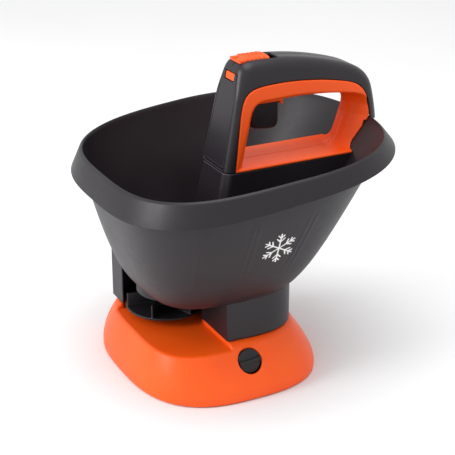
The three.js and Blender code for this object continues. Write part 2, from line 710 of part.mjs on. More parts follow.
function batteryDoor() {
  const plate = frontExtrude(doorOutline(0), 0, DOOR.thickness);
  const barrel = hingeRod(HINGE.barrel, HINGE.halfLength, 16);
  const bore = hingeRod(HINGE.pin + GAP, 30, 16);
  const notch = block(-TONGUE.halfWidth - 0.6, TONGUE.halfWidth + 0.6, -5, 10, TONGUE.low - 0.6, FAR);
  return onFront(plate.add(barrel).subtract(bore).subtract(notch));
}

function doorHingePin() {
  return onFront(hingeRod(HINGE.pin, 22.3, 12));
}

const handleScrewPlaces = [[58, 285.5], [103, 276], [138.2, 243]];

// The largest of the separate pieces that cutting leaves
function largest(body) {
  return body.decompose().reduce((best, piece) => (piece.volume() > best.volume() ? piece : best));
}

// The hopper's walls and rim with clearance round them
function rimGuard() {
  return hopperEnvelope(GAP).subtract(hopperInside(GAP));
}

// Cross walls inside the arch, from side to side: the springs and the switch bear on them
function crossWalls() {
  return union([
    block(-FAR, FAR, 19, 35.2, 277.4, 279.2),
    block(-FAR, FAR, 33.6, 35.2, 277.4, FAR),
    block(-FAR, FAR, 42.8, 44.4, 268, FAR),
  ]);
}

function handleShell() {
  const bosses = handleScrewPlaces.map(([y, z]) => rod(4.6, [-FAR, y, z], [FAR, y, z], 16));
  const inside = archSolid(HANDLE_WALL).subtract(union([...bosses, crossWalls()]));
  const holes = handleScrewPlaces.map(([y, z]) => {
    const head = rod(3.3, [-FAR, y, z], [-halfWidth(z) + 4, y, z], 14);
    return rod(1.4 + GAP, [-30, y, z], [9, y, z], 10).add(head);
  });
  const doorSeat = onFront(frontExtrude(doorOutline(0.4), -9, DOOR.thickness + 0.4));
  const hingeRoom = onFront(hingeRod(HINGE.barrel + 0.4, HINGE.halfLength + 0.4, 14));
  const pinBore = onFront(hingeRod(HINGE.pin + GAP, 22.7, 12));
  const stemSlot = block(-4.5, 4.5, 10, 27, 285, FAR);
  const thumbSeat = block(-11, 11, -9, 39.2, 293.4, FAR);
  const tongueWay = onFront(block(-TONGUE.halfWidth - 0.6, TONGUE.halfWidth + 0.6, -5, 20,
    TONGUE.low - 0.6, TONGUE.high + 0.6));
  const window = sideExtrude(windowOutline(), -FAR, FAR);
  const foot = pedestalBlock(HANDLE_WALL, 190, 200).intersect(block(-FAR, FAR, -FAR, 0, 190, 200));
  const shell = archSolid(0)
    .subtract(inside)
    .subtract(window.add(foot))
    .subtract(union([...holes, doorSeat, hingeRoom, pinBore, stemSlot, thumbSeat, tongueWay]))
    .subtract(block(-FAR, FAR, 110, FAR, 0, 224.5))
    .subtract(rimGuard());
  return shell;
}

// Distances from the middle plane, with how far the opening's front and top are moved out there and its
// rear side back: the grip has soft edges, and its rear post is a blunt wedge
const LINER_EDGE = [
  [0, 0, 0], [9, 0, 3.6], [15, 0, 7.2], [19, 0.9, 9.9], [22.5, 3, 12.2], [25, 6, 13.8], [32, 13, 17.5],
];

function openingSolid(extra) {
  const ring = (x, out, back) => grown(openingOutline(out, back), extra)
    .map(([y, z]) => [x, y, Math.max(z, LEDGE_TOP_Z - extra)]);
  const right = LINER_EDGE.map(([x, out, back]) => ring(x, out, back));
  const left = LINER_EDGE.slice(1).map(([x, out, back]) => ring(-x, out, back)).reverse();
  return sideLoft([...left, ...right]);
}

// A ring round the finger opening, hollow towards the inside of the arch, with the ledge as its floor
function gripLiner() {
  const outer = sideExtrude(grown(windowOutline(), -GAP), -FAR, FAR);
  const hollow = sideExtrude(grown(windowOutline(), 12), -FAR, FAR)
    .subtract(openingSolid(LINER_WALL))
    .intersect(taperPrism(-LINER_WALL));
  const triggerWay = block(-TRIGGER.halfWidth - 0.5, TRIGGER.halfWidth + 0.5,
    TRIGGER.front - 0.5, TRIGGER.rear + 0.5, 240, 262);
  return outer
    .subtract(openingSolid(0))
    .intersect(taperPrism(0.5))
    .intersect(block(-FAR, FAR, -FAR, FAR, HANDLE_BOTTOM_Z, FAR))
    .subtract(hollow)
    .subtract(triggerWay)
    .subtract(rimGuard());
}

function taperPrism(extra) {
  const low = HANDLE_BOTTOM_Z - 10;
  const high = 310;
  const shape = new THREE.Shape([
    new THREE.Vector2(-halfWidth(low) - extra, low),
    new THREE.Vector2(halfWidth(low) + extra, low),
    new THREE.Vector2(halfWidth(high) + extra, high),
    new THREE.Vector2(-halfWidth(high) - extra, high),
  ]);
  const body = new THREE.ExtrudeGeometry(shape, { depth: 2 * FAR, bevelEnabled: false });
  body.rotateX(Math.PI / 2);
  body.translate(0, FAR, 0);
  return solid(body);
}

const LEFT_HALF = block(-FAR, -GAP / 2, -FAR, FAR, -FAR, FAR);
const RIGHT_HALF = block(GAP / 2, FAR, -FAR, FAR, -FAR, FAR);

function handleScrew([y, z]) {
  const headX = -halfWidth(z) + 1.4;
  const head = rod(2.9, [headX, y, z], [headX + 2, y, z], 14);
  return head.add(rod(1.4, [headX + 1, y, z], [8, y, z], 10));
}

// ---- pedestal under the handle ----

const PEDESTAL = { top: HANDLE_BOTTOM_Z - GAP, bottom: HOPPER_FLOOR_Z + GAP, wall: 2.5, flare: 0.03 };

function pedestalBlock(inset, bottom, top) {
  const ring = (z) => {
    const front = frontY(z) + inset;
    const side = HANDLE_HALF_WIDTH - 0.2 + (HANDLE_BOTTOM_Z - z) * PEDESTAL.flare - inset;
    const face = 20 + (HANDLE_BOTTOM_Z - z) * 0.06 - inset;
    return [[-face, front, z], [face, front, z], [side, front + 6, z], [side, 150, z],
      [-side, 150, z], [-side, front + 6, z]];
  };
  return loft([ring(bottom), ring(top)]);
}

const pedestalScrewPlaces = [[-22, 14], [22, 14]];

function pedestal() {
  const { bottom, top, wall } = PEDESTAL;
  const floorRoom = block(-24, 24, -42, 30, bottom - 1, bottom + 8);
  const bosses = bored(pedestalScrewPlaces, 3.6, bottom, bottom + 14);
  const cavity = pedestalBlock(wall, bottom - 1, top - wall)
    .intersect(hopperInside(wall + GAP).add(floorRoom))
    .subtract(bosses);
  const well = pedestalBlock(wall, 150, 250).intersect(block(-24.5, 24.5, -FAR, 2, 150, FAR));
  return pedestalBlock(0, bottom, top)
    .intersect(hopperInside(GAP))
    .subtract(cavity)
    .subtract(well)
    .subtract(bored(pedestalScrewPlaces, 1.85, 0, bottom + 12));
}

// ---- battery, latch, trigger ----

function batteryTray() {
  const { halfWidth: side, front, back, bottom, top } = TRAY;
  const body = block(-side, side, front, back, bottom, top);
  const tubes = [-1, 1].map((half) => {
    const x = (half * CELL_SPACING) / 2;
    return rod(TUBE_RADIUS, [x, CELL_DEPTH, bottom + 2], [x, CELL_DEPTH, 50.4], 20);
  });
  const plateSlot = block(-14.5, 14.5, 4.8, 15.6, 50.3, 52.1);
  const mouth = block(-side + 1.3, side - 1.3, 0, CELL_DEPTH, 2, 52.1);
  return onFront(body.subtract(union([...tubes, plateSlot, mouth])));
}

// A cell and the small positive cap at its upper end
function batteryCell(side, level) {
  const low = level === 0 ? -CELL_LENGTH - 0.6 : 0;
  const capZ = low + CELL_LENGTH - 0.4;
  const shoulder = capZ - 1.1;
  const profile = [[0, low], [CELL_RADIUS, low], [CELL_RADIUS, shoulder], [2.6, shoulder], [2.6, capZ],
    [0, capZ]];
  return onFront(turned(profile, 20, (side * CELL_SPACING) / 2, CELL_DEPTH));
}

// A round spring along Z from the origin, as one closed wire
function helix(radius, length, turns, wire) {
  const points = [];
  const perTurn = 8;
  const steps = turns * perTurn;
  for (let k = 0; k <= steps; k += 1) {
    const angle = (2 * Math.PI * k) / perTurn;
    points.push(new THREE.Vector3(radius * Math.cos(angle), radius * Math.sin(angle), (length * k) / steps));
  }
  const section = new THREE.Shape();
  section.absellipse(0, 0, wire, wire, 0, 2 * Math.PI, false, 0);
  const round = new THREE.Shape(section.getPoints(2).slice(0, -1));
  const path = new THREE.CatmullRomCurve3(points);
  return solid(new THREE.ExtrudeGeometry(round, { steps, extrudePath: path, bevelEnabled: false }));
}

function contactSpring(side) {
  const x = (side * CELL_SPACING) / 2;
  return onFront(helix(4.2, 2.1, 2, 0.35).translate([x, CELL_DEPTH, TRAY.bottom + 2.7]));
}

function contactPlate() {
  return onFront(block(-13.9, 13.9, 5.2, 15.2, 50.7, 51.7));
}

const THUMB = { halfWidth: 10.2, front: -1.2, rear: 30.6, low: 293.8, edge: 296.6, crown: 299.2 };

function latchSlider() {
  const { halfWidth: side, front, rear, low, edge, crown } = THUMB;
  const rise = crown - 1.2 - edge;
  const radius = (side ** 2 + rise ** 2) / (2 * rise);
  const dome = rod(radius, [0, front, crown - 1.2 - radius], [0, rear, crown - 1.2 - radius], 64)
    .intersect(block(-side, side, front, rear, edge - 1, FAR));
  const plate = block(-side, side, front, rear, low, edge);
  const ribs = [];
  for (let k = 0; k < 5; k += 1) {
    const y = 8 + 4.4 * k;
    ribs.push(planExtrude([[0, y + 3], [-side, y], [-side, y - 1.6], [0, y + 1.4], [side, y - 1.6], [side, y]]
      .reverse(), edge - 1, crown));
  }
  const cap = rod(radius + 1.2, [0, front, crown - 1.2 - radius], [0, rear, crown - 1.2 - radius], 64);
  const notch = planExtrude([[-5, front - 1], [5, front - 1], [0, front + 6]], edge - 0.6, FAR);
  const stem = block(-4, 4, 10.6, 18.6, 281, low + 0.5);
  const tongue = onFront(block(-TONGUE.halfWidth, TONGUE.halfWidth, 0.5, 8, TONGUE.low, TONGUE.high));
  const bar = block(-4, 4, -1.5, 18.6, 281, 284.4);
  return union([plate, dome, ...ribs]).intersect(cap).subtract(notch).add(union([stem, bar, tongue]));
}

function latchSpring() {
  return helix(2.4, 13.4, 5, 0.4).rotate([-90, 0, 0]).translate([0, 19.4, 286.4]);
}

// The finger piece hangs by its flange on the liner. Its arm reaches forward to the rod.
function trigger() {
  const { halfWidth: side, front, rear, bottom, flange, top } = TRIGGER;
  const path = new THREE.Path();
  path.moveTo(front, top);
  path.lineTo(front, bottom + 2.5);
  path.quadraticCurveTo(front, bottom, front + 2.5, bottom - 0.2);
  path.lineTo(rear - 5, bottom - 2);
  path.quadraticCurveTo(rear, bottom - 2, rear, bottom + 3);
  path.lineTo(rear, top);
  const body = sideExtrude(pathPoints(path, 4), -side, side);
  const hollow = block(-side + 2, side - 2, front + 2, rear - 2, bottom + 8, FAR);
  const lip = block(-side - 2.2, side + 2.2, front - 2.2, rear + 1.4, flange, top);
  const [, rodY] = leaning(ROD_X, ROD_DEPTH, top);
  const arm = block(side - 2, ARM_END_X, rodY - 4, front + 2, flange, top);
  const rodSlot = block(ROD_X - ROD_RADIUS - 0.4, FAR, rodY - 2.3, rodY + 3.3, 250, FAR);
  return union([body, lip, arm]).subtract(hollow).subtract(rodSlot);
}

function triggerSpring() {
  const low = TRIGGER.bottom + 8.8;
  return helix(4.5, 276.4 - low, 8, 0.6).translate([0, 26, low]);
}

function microswitch() {
  const body = block(-10, 10, 35.8, 42.2, 270.4, 280.4);
  const button = block(-1.5, 1.5, 37.5, 40.5, 268.6, 271);
  return body.add(button);
}

// ---- dial, board and wiring ----

function speedDial() {
  const disc = rod(DIAL_RADIUS, [0, 0, -1.2], [0, 0, DIAL_FACE], 32);
  const bar = block(-DIAL_RADIUS + 0.6, DIAL_RADIUS - 0.6, -1.8, 1.8, DIAL_FACE - 1, DIAL_FACE + 2.2);
  const socket = rod(2.5 + GAP, [0, 0, -5], [0, 0, 1.2], 12);
  return dialFrame(disc.add(bar.rotate([0, 0, DIAL_BAR_ANGLE])).subtract(socket));
}

function dialPot() {
  return dialFrame(block(-8, 8, -8, 8, -12, -4).add(rod(2.5, [0, 0, -5], [0, 0, 0.6], 12)));
}

function controlBoard() {
  const top = 15.6;
  return union([
    block(-6, 46, -12, 24, 14, top),
    block(0, 12, -6, 4, top - 0.5, top + 9),
    block(20, 28, -8, 10, top - 0.5, top + 4),
    rod(4, [36, -2, top - 0.5], [36, -2, top + 11], 16),
    rod(3, [36, 12, top - 0.5], [36, 12, top + 8], 16),
  ]);
}

// One jacketed loom from the switch and the tray's head down to the board
function wireLoom() {
  const points = [
    leaning(WIRE_X, ROD_DEPTH, 247),
    leaning(WIRE_X, ROD_DEPTH, 215),
    leaning(WIRE_X, ROD_DEPTH, 160),
    [WIRE_X, WIRE_Y - 2, 128],
    [WIRE_X, WIRE_Y, 100],
    [WIRE_X, WIRE_Y, 60],
    [WIRE_X, WIRE_Y, 40],
    [WIRE_X + 2, WIRE_Y + 1, 24],
  ];
  const path = new THREE.CatmullRomCurve3(points.map((point) => new THREE.Vector3(...point)));
  const round = new THREE.Shape();
  round.absellipse(0, 0, 1.8, 1.8, 0, 2 * Math.PI, false, 0);
  const section = new THREE.Shape(round.getPoints(2).slice(0, -1));
  return solid(new THREE.ExtrudeGeometry(section, { steps: 28, extrudePath: path, bevelEnabled: false }));
}

// ---- assembly ----

const spreader = new THREE.Group();

function place(name, body, finish) {
  const mesh = new THREE.Mesh(geometryOf(body), new THREE.MeshStandardMaterial(finish));
  mesh.name = name;
  spreader.add(mesh);
}

function placeEach(stem, places, makeBody, finish) {
  places.forEach((spot, k) => place(`${stem}_${k + 1}`, makeBody(spot), finish));
}

place('hopper', hopperShell(), BLACK);
place('neck_housing', neckHousing(), BLACK);
place('base_shell', baseShell(), ORANGE);
place('base_plate', basePlate(), DARK);
placeEach('foot', footPlaces, foot, RUBBER);
placeEach('base_screw', baseScrewPlaces, (spot) => screwUp(spot, PLATE_Z - GAP, 11), STEEL);
placeEach('stack_screw', stackScrewPlaces, (spot) => screwUp(spot, BASE_TOP_Z - BASE_WALL - GAP, 22), STEEL);
place('motor', motor(), STEEL);
place('motor_clamp', motorClamp(), STEEL);
placeEach('clamp_screw', clampScrewPlaces, (spot) => screwUp(spot, 6 - GAP, 8), STEEL);
place('drive_shaft', driveShaft(), STEEL);
place('impeller', impeller(), DARK);
place('agitator', agitator(), DARK);
place('shaft_seal', shaftSeal(), RUBBER);
place('shutter_guide', shutterGuide(), DARK);
placeEach('guide_screw', guideScrewPlaces, (spot) => screwUp(spot, 77 - GAP, 14), STEEL);
place('shutter_plate', shutterPlate(), STEEL);
place('control_rod', controlRod(), STEEL);
place('pedestal', pedestal(), BLACK);
placeEach('pedestal_screw', pedestalScrewPlaces, (spot) => screwUp(spot, HOPPER_BOTTOM_Z - GAP, 15), STEEL);
const handle = handleShell();
place('handle_left', largest(handle.intersect(LEFT_HALF)), BLACK);
place('handle_right', largest(handle.intersect(RIGHT_HALF)), BLACK);
const liner = gripLiner();
place('grip_liner_left', largest(liner.intersect(LEFT_HALF)), ORANGE);
place('grip_liner_right', largest(liner.intersect(RIGHT_HALF)), ORANGE);
placeEach('handle_screw', handleScrewPlaces, handleScrew, STEEL);
place('battery_door', batteryDoor(), BLACK);
place('door_hinge_pin', doorHingePin(), STEEL);
place('battery_tray', batteryTray(), DARK);
let cellNumber = 1;
for (const level of [0, 1]) {
  for (const side of [-1, 1]) {
    place(`battery_cell_${cellNumber}`, batteryCell(side, level), CELL);
    cellNumber += 1;
  }
}
place('contact_spring_left', contactSpring(-1), STEEL);
place('contact_spring_right', contactSpring(1), STEEL);
place('contact_plate', contactPlate(), STEEL);
place('latch_slider', latchSlider(), ORANGE);
place('latch_spring', latchSpring(), STEEL);
place('trigger', trigger(), DARK);
place('trigger_spring', triggerSpring(), STEEL);
place('microswitch', microswitch(), DARK);
place('speed_dial', speedDial(), BLACK);
place('dial_pot', dialPot(), STEEL);
place('control_board', controlBoard(), BOARD);
place('wire_loom', wireLoom(), COPPER);

export default spreader;
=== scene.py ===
"""Visual model of a handheld battery salt spreader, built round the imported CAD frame.

Shapes are worked out in millimetres in the frame's own axes: -Y is the front, where the salt is thrown out,
+X is the side with the speed dial, and the object stands on z = 0. They become metres when a mesh is made.
Most shells are drawn as signed distances, negative inside, and turned into meshes by surface nets.
"""
import math
import bpy
import numpy as np
from mathutils import Matrix, Vector


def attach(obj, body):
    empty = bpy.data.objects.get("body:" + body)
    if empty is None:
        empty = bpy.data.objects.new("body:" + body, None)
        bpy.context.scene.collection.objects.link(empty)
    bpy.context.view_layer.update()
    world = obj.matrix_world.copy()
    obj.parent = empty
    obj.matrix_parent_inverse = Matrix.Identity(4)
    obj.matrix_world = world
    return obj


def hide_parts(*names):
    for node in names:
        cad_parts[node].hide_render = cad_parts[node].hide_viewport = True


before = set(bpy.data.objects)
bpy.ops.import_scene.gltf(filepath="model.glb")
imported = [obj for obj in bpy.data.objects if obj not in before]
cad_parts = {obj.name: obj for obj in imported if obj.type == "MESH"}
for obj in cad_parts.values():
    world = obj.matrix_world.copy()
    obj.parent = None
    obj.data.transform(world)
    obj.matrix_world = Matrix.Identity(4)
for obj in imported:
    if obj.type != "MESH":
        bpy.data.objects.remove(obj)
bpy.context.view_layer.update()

MM = 0.001
GAP = 0.35  # clearance between pieces that touch
FAR = 400.0
FINE = 1.0

# Hopper
RIM_HALF_WIDTH = 128.7
RIM_HALF_LENGTH = 134.6
RIM_POWERS = (3.15, 2.2)  # front, rear
RIM_EGG = 0.035
RIM_FLARE = 0.023
RIM_LIP = 3.2
RIM_HEIGHT = 221.6  # at the middle
RIM_RISE = 0.0836
RIM_BOW = 0.000235
BAND_REACH = 12.3
BAND_DROP = 17.7
BAND_DROP_TAPER = 0.0402
BAND_WALL = 2.6
HOPPER_WALL = 2.8
HOPPER_BOTTOM = 86.0
HOPPER_FLOOR = 89.0
WALL_TABLE_TOP = 240.0
FOOT_OVAL = {"half_width": 72, "front": -102, "rear": 32, "powers": (3.2, 3.2)}
WALL_POWERS = (1.4, 1.0)  # front, rear
HOPPER_POINTS = 720  # round the rim
OUTLET = (-5, 12, -70, -63.5)  # x and y spans of the hole the salt falls through
RIB_Z = (130, 175)
RIB_LINES = ((-47, -43), (-41, -38), (2, 14), (8, 20), (-88, -92))  # y at each RIB_Z
RIB_FADES = ((118, 135), (172, 190))
RIB_HEIGHT = 0.45
RIB_HALF_WIDTH = 1.5
FLAKE = {"y": -13.0, "z": 151.0, "reach": 17.0, "stroke": 0.75, "squash": 0.93}
FLAKE_BRANCHES = ((0.45, 5.5), (0.72, 4.2))  # share of the reach, length
DIAGONAL = 0.7071

# Neck and base
NECK_Z = (48.0, 100.0)
NECK_WALL = 2.6
NECK_CORNER = 2.4
THROW_WALL_Y = -46.8
THROW_POST_X = -43.7
CHAMBER_RADIUS = 42.0
BASE_OVAL = {"half_width": 107.6, "half_length": 93.6, "centre": -31.8, "power": 2.82}
BASE_TOP_OVAL = {"half_width": 78.0, "front": -109.5, "rear": 40.0, "powers": (4.0, 3.0)}
BASE_SKIRT = (1.0, 10.0)
BASE_TOP_Z = 47.65
BASE_WALL = 2.8
DECK_Z = 43.0

# Drive
SHAFT = (-19.0, -67.3)
SHAFT_RADIUS = 3.0
SHAFT_HOLE_RADIUS = 7.0
WIRES = (-19.0, -17.0)
WIRE_HOLE_RADIUS = 3.2
IMPELLER_RADIUS = 39.0
IMPELLER_Z = (51.8, 54.0)
VANE_HEIGHT = 13.0
VANE_COUNT = 6
VANE_START = 0.35
HUB_RADIUS = 9.0

# Dial
DIAL_POS = (88.5, -31.6, 31.2)
DIAL_TILT = math.radians(24)
DIAL_RADIUS = 11.5
DIAL_FACE = 2.5
DIAL_BAR_ANGLE = math.radians(95)

# Handle and tower
HANDLE_BOTTOM = 195.3
HANDLE_FRONT_Y = -24.3
LEAN = math.radians(11.73)
COLUMN_DEPTH = 21.4
LEDGE_TOP = 197.6
HANDLE_WALL = 2.5
LINER_WALL = 2.2
HANDLE_SCREWS = ((58.0, 285.5), (103.0, 276.0), (138.2, 243.0))
TRIGGER = {"half": 9.6, "front": 12.0, "rear": 41.0, "bottom": 228.5, "flange": 259.9, "top": 262.3}
ROD_X = 18.2
ROD_DEPTH = 11.6
ROD_RADIUS = 1.5
ROD_HOLE_RADIUS = 3.2
THUMB = {"half": 10.2, "front": -1.2, "rear": 30.6, "low": 293.8, "edge": 296.6, "crown": 299.2}
DOOR = {"bottom": 3.6, "middle": 62.0, "top": 91.5, "halves": (19.4, 17.3, 12.4), "thickness": 2.3}
HINGE = {"depth": 1.3, "height": 3.6, "barrel": 1.5, "pin": 0.7, "half": 19.0}
TONGUE = {"half": 8.2, "low": 84.0, "high": 91.0, "room": 0.6}

# Distances from the middle plane, and how far the liner's opening moves there:
# its front and top outward, and its rear backward
EDGE_X = (0, 5, 9, 15, 19, 22.5, 25, 29)
EDGE_OUT = (0, 0, 0.1, 0.5, 1.3, 3.1, 5.6, 10.5)
EDGE_BACK = (0, 1.1, 3.2, 7.2, 9.9, 12.2, 13.8, 15.8)

# Camera and light, in metres
CAMERA = {"lens": 99.7, "place": (1.0029, -0.5230, 0.6058), "right": (0.4565, 0.8897, 0),
          "ahead": (-0.8194, 0.4204, -0.3896)}
WORLD_STRENGTH = 0.85
LIGHT_POWER = 16
FLOOR_HALF = 15.0
FLOOR_STEPS = 20


# ---- distances ----

def round_max(a, b, radius):
    """What is inside both, with the edge between them rounded."""
    corner = np.hypot(np.maximum(a + radius, 0), np.maximum(b + radius, 0))
    return np.minimum(np.maximum(a, b), -radius) + corner


def round_min(a, b, radius):
    """What is inside either, with a fillet between them."""
    return -round_max(-a, -b, radius)


def cut(a, b, radius=0.4):
    """What is inside a and outside b."""
    return round_max(a, -b, radius)


def slab(v, low, high):
    return np.abs(v - (low + high) / 2) - (high - low) / 2


def block(x, y, z, spans, radius=0.4):
    (x0, x1), (y0, y1), (z0, z1) = spans
    return round_max(round_max(slab(x, x0, x1), slab(y, y0, y1), radius), slab(z, z0, z1), radius)


def smoothstep(v, low, high):
    t = np.clip((v - low) / (high - low), 0, 1)
    return t * t * (3 - 2 * t)


def polygon_distance(points, u, v):
    """Signed distance to a closed outline, negative inside."""
    nearest = np.full(np.broadcast(u, v).shape, 1e12)
    inside = np.zeros(nearest.shape, bool)
    for (au, av), (bu, bv) in zip(points, np.roll(points, -1, 0)):
        du, dv = bu - au, bv - av
        squared = du * du + dv * dv
        if squared < 1e-12:
            continue
        along = np.clip(((u - au) * du + (v - av) * dv) / squared, 0, 1)
        nearest = np.minimum(nearest, (u - au - along * du) ** 2 + (v - av - along * dv) ** 2)
        if dv:
            beside = (v >= min(av, bv)) & (v < max(av, bv))
            inside ^= beside & (u < au + (v - av) * du / dv)
    return np.sqrt(nearest) * np.where(inside, -1, 1)


class Outline:
    """Signed distance to a closed outline in a plane, kept in a table and read between its points."""

    def __init__(self, points, pitch=0.4, margin=24):
        points = np.array(points, float)
        self.pitch = pitch
        self.low = points.min(0) - margin
        count = np.ceil((points.max(0) + margin - self.low) / pitch).astype(int) + 1
        u = self.low[0] + pitch * np.arange(count[0])[:, None]
        v = self.low[1] + pitch * np.arange(count[1])[None, :]
        self.table = polygon_distance(points, u, v)

    def __call__(self, u, v):
        s = np.clip((u - self.low[0]) / self.pitch, 0, self.table.shape[0] - 1.001)
        t = np.clip((v - self.low[1]) / self.pitch, 0, self.table.shape[1] - 1.001)
        i, j = s.astype(int), t.astype(int)
        s, t = s - i, t - j
        near = self.table[i, j] * (1 - s) + self.table[i + 1, j] * s
        far = self.table[i, j + 1] * (1 - s) + self.table[i + 1, j + 1] * s
        return near * (1 - t) + far * t


class Wall:
    """Level distance to a wall whose outline changes with height, kept in a table."""

    PITCH = (4.0, 4.0, 2.0)

    def __init__(self, outline_at, low_z, high_z):
        self.low = np.array([-150.0, -156.0, low_z])
        high = np.array([150.0, 156.0, high_z])
        x, y, z = [np.arange(a, b + p, p) for a, b, p in zip(self.low, high, self.PITCH)]
        layers = [polygon_distance(outline_at(level), x[:, None], y[None, :]) for level in z]
        self.table = np.stack(layers, 2)

    def __call__(self, x, y, z):
        part = []
        for axis, v in enumerate((x, y, z)):
            s = np.clip((v - self.low[axis]) / self.PITCH[axis], 0, self.table.shape[axis] - 1.001)
            i = s.astype(int)
            part.append((i, s - i))
        (i, a), (j, b), (k, c) = part
        total = 0
        for di, wi in ((0, 1 - a), (1, a)):
            for dj, wj in ((0, 1 - b), (1, b)):
                for dk, wk in ((0, 1 - c), (1, c)):
                    total = total + self.table[i + di, j + dj, k + dk] * wi * wj * wk
        return total


def surface(field, low, high, step):
    """Points and quads of the surface where the field is zero, by surface nets."""
    low = np.array(low, float)
    axes = [np.arange(a, b + step, step) for a, b in zip(low, high)]
    values = np.empty([len(a) for a in axes])
    values[...] = field(*np.ix_(*axes))
    inside = values < 0
    rings = []
    points = []
    for axis in range(3):
        here = tuple(slice(0, -1) if k == axis else slice(None) for k in range(3))
        there = tuple(slice(1, None) if k == axis else slice(None) for k in range(3))
        spots = np.argwhere(inside[here] != inside[there])
        onward = spots.copy()
        onward[:, axis] += 1
        a, b = values[tuple(spots.T)], values[tuple(onward.T)]
        crossing = spots.astype(float)
        crossing[:, axis] += a / (a - b)
        u, v = (axis + 1) % 3, (axis + 2) % 3
        corners = []
        for du, dv in ((1, 1), (0, 1), (0, 0), (1, 0)):
            cell = spots.copy()
            cell[:, u] -= du
            cell[:, v] -= dv
            corners.append(np.ravel_multi_index(tuple(cell.T), values.shape, mode="clip"))
        ring = np.stack(corners, 1)
        ring[a >= 0] = ring[a >= 0][:, ::-1]
        rings.append(ring)
        points.append(crossing)
    rings = np.concatenate(rings)
    points = np.repeat(np.concatenate(points), 4, axis=0)
    quads = np.unique(rings, return_inverse=True)[1].reshape(-1, 4)
    share = np.bincount(quads.ravel())
    middle = [np.bincount(quads.ravel(), weights=points[:, k]) / share for k in range(3)]
    vertices = low + np.stack(middle, 1) * step
    for _ in range(3):
        value = field(*vertices.T)
        slope = np.empty_like(vertices)
        for k in range(3):
            ahead, behind = vertices.copy(), vertices.copy()
            ahead[:, k] += 0.2
            behind[:, k] -= 0.2
            slope[:, k] = (field(*ahead.T) - field(*behind.T)) / 0.4
        size = np.maximum((slope ** 2).sum(1), 0.2)
        move = slope * (value / size)[:, None]
        length = np.linalg.norm(move, axis=1)
        vertices -= move * np.minimum(1, 0.4 * step / np.maximum(length, 1e-9))[:, None]
    return vertices, quads


# ---- making pieces ----

def make_piece(name, vertices, faces, material, body, replaced=(), sharp=None):
    mesh = bpy.data.meshes.new(name)
    mesh.from_pydata((np.asarray(vertices) * MM).tolist(), [], [list(face) for face in faces])
    mesh.validate()
    mesh.shade_smooth()
    if sharp:
        mesh.set_sharp_from_angle(angle=math.radians(sharp))
    mesh.materials.append(material)
    piece = bpy.data.objects.new(name, mesh)
    bpy.context.scene.collection.objects.link(piece)
    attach(piece, body)
    if replaced:
        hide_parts(*replaced)
    return piece


def shell(name, field, low, high, step, material, body, replaced=()):
    """A piece drawn as a distance."""
    vertices, quads = surface(field, low, high, step * FINE)
    return make_piece(name, vertices, quads.tolist(), material, body, replaced)


# ---- outlines ----

def bezier(a, b, c, d, count):
    t = np.linspace(0, 1, count + 1)[1:, None]
    a, b, c, d = map(np.array, (a, b, c, d))
    return (1 - t) ** 3 * a + 3 * (1 - t) ** 2 * t * b + 3 * (1 - t) * t ** 2 * c + t ** 3 * d


def path(start, *parts, count=16):
    """A closed outline: a part of one point is a straight line, a part of three is a curve."""
    points = [np.array([start], float)]
    for part in parts:
        here = points[-1][-1]
        points.append(np.array([part[0]], float) if len(part) == 1 else bezier(here, *part, count))
    return np.concatenate(points)


def signed_power(value, power):
    return np.sign(value) * np.abs(value) ** power


def oval(half_width, front, rear, powers, centre, angles):
    behind = np.sin(angles) >= 0
    power = np.where(behind, powers[1], powers[0])
    reach = np.where(behind, rear - centre, centre - front)
    x = half_width * signed_power(np.cos(angles), 2 / power)
    return np.stack([x, centre + reach * signed_power(np.sin(angles), 2 / power)], 1)


def grown(outline, distance):
    tangent = np.roll(outline, -1, 0) - np.roll(outline, 1, 0)
    tangent /= np.linalg.norm(tangent, axis=1)[:, None]
    return outline + np.stack([tangent[:, 1], -tangent[:, 0]], 1) * np.reshape(distance, (-1, 1))


# ---- hopper walls ----

def rim_at(angles):
    points = oval(RIM_HALF_WIDTH, -RIM_HALF_LENGTH, RIM_HALF_LENGTH, RIM_POWERS, 0, angles)
    rearward = points[:, 1] / RIM_HALF_LENGTH
    points[:, 0] *= 1 + RIM_EGG * rearward + RIM_FLARE * rearward ** 2
    return points


def even_angles(count):
    """Angles at which the points of the rim are evenly spaced."""
    angles = np.linspace(0, 2 * math.pi, 20001)
    points = rim_at(angles)
    along = np.concatenate([[0], np.cumsum(np.linalg.norm(np.diff(points, axis=0), axis=1))])
    return np.interp(np.arange(count) / count * along[-1], along, angles)


def rim_z(y):
    return RIM_HEIGHT + RIM_RISE * y - RIM_BOW * y * y


def wall_share(drop, rearward):
    power = WALL_POWERS[0] + (WALL_POWERS[1] - WALL_POWERS[0]) * (rearward + 1) / 2
    return 0.8 * drop ** power + 0.2 * (1 - np.sqrt(np.maximum(1 - drop ** 6, 0)))


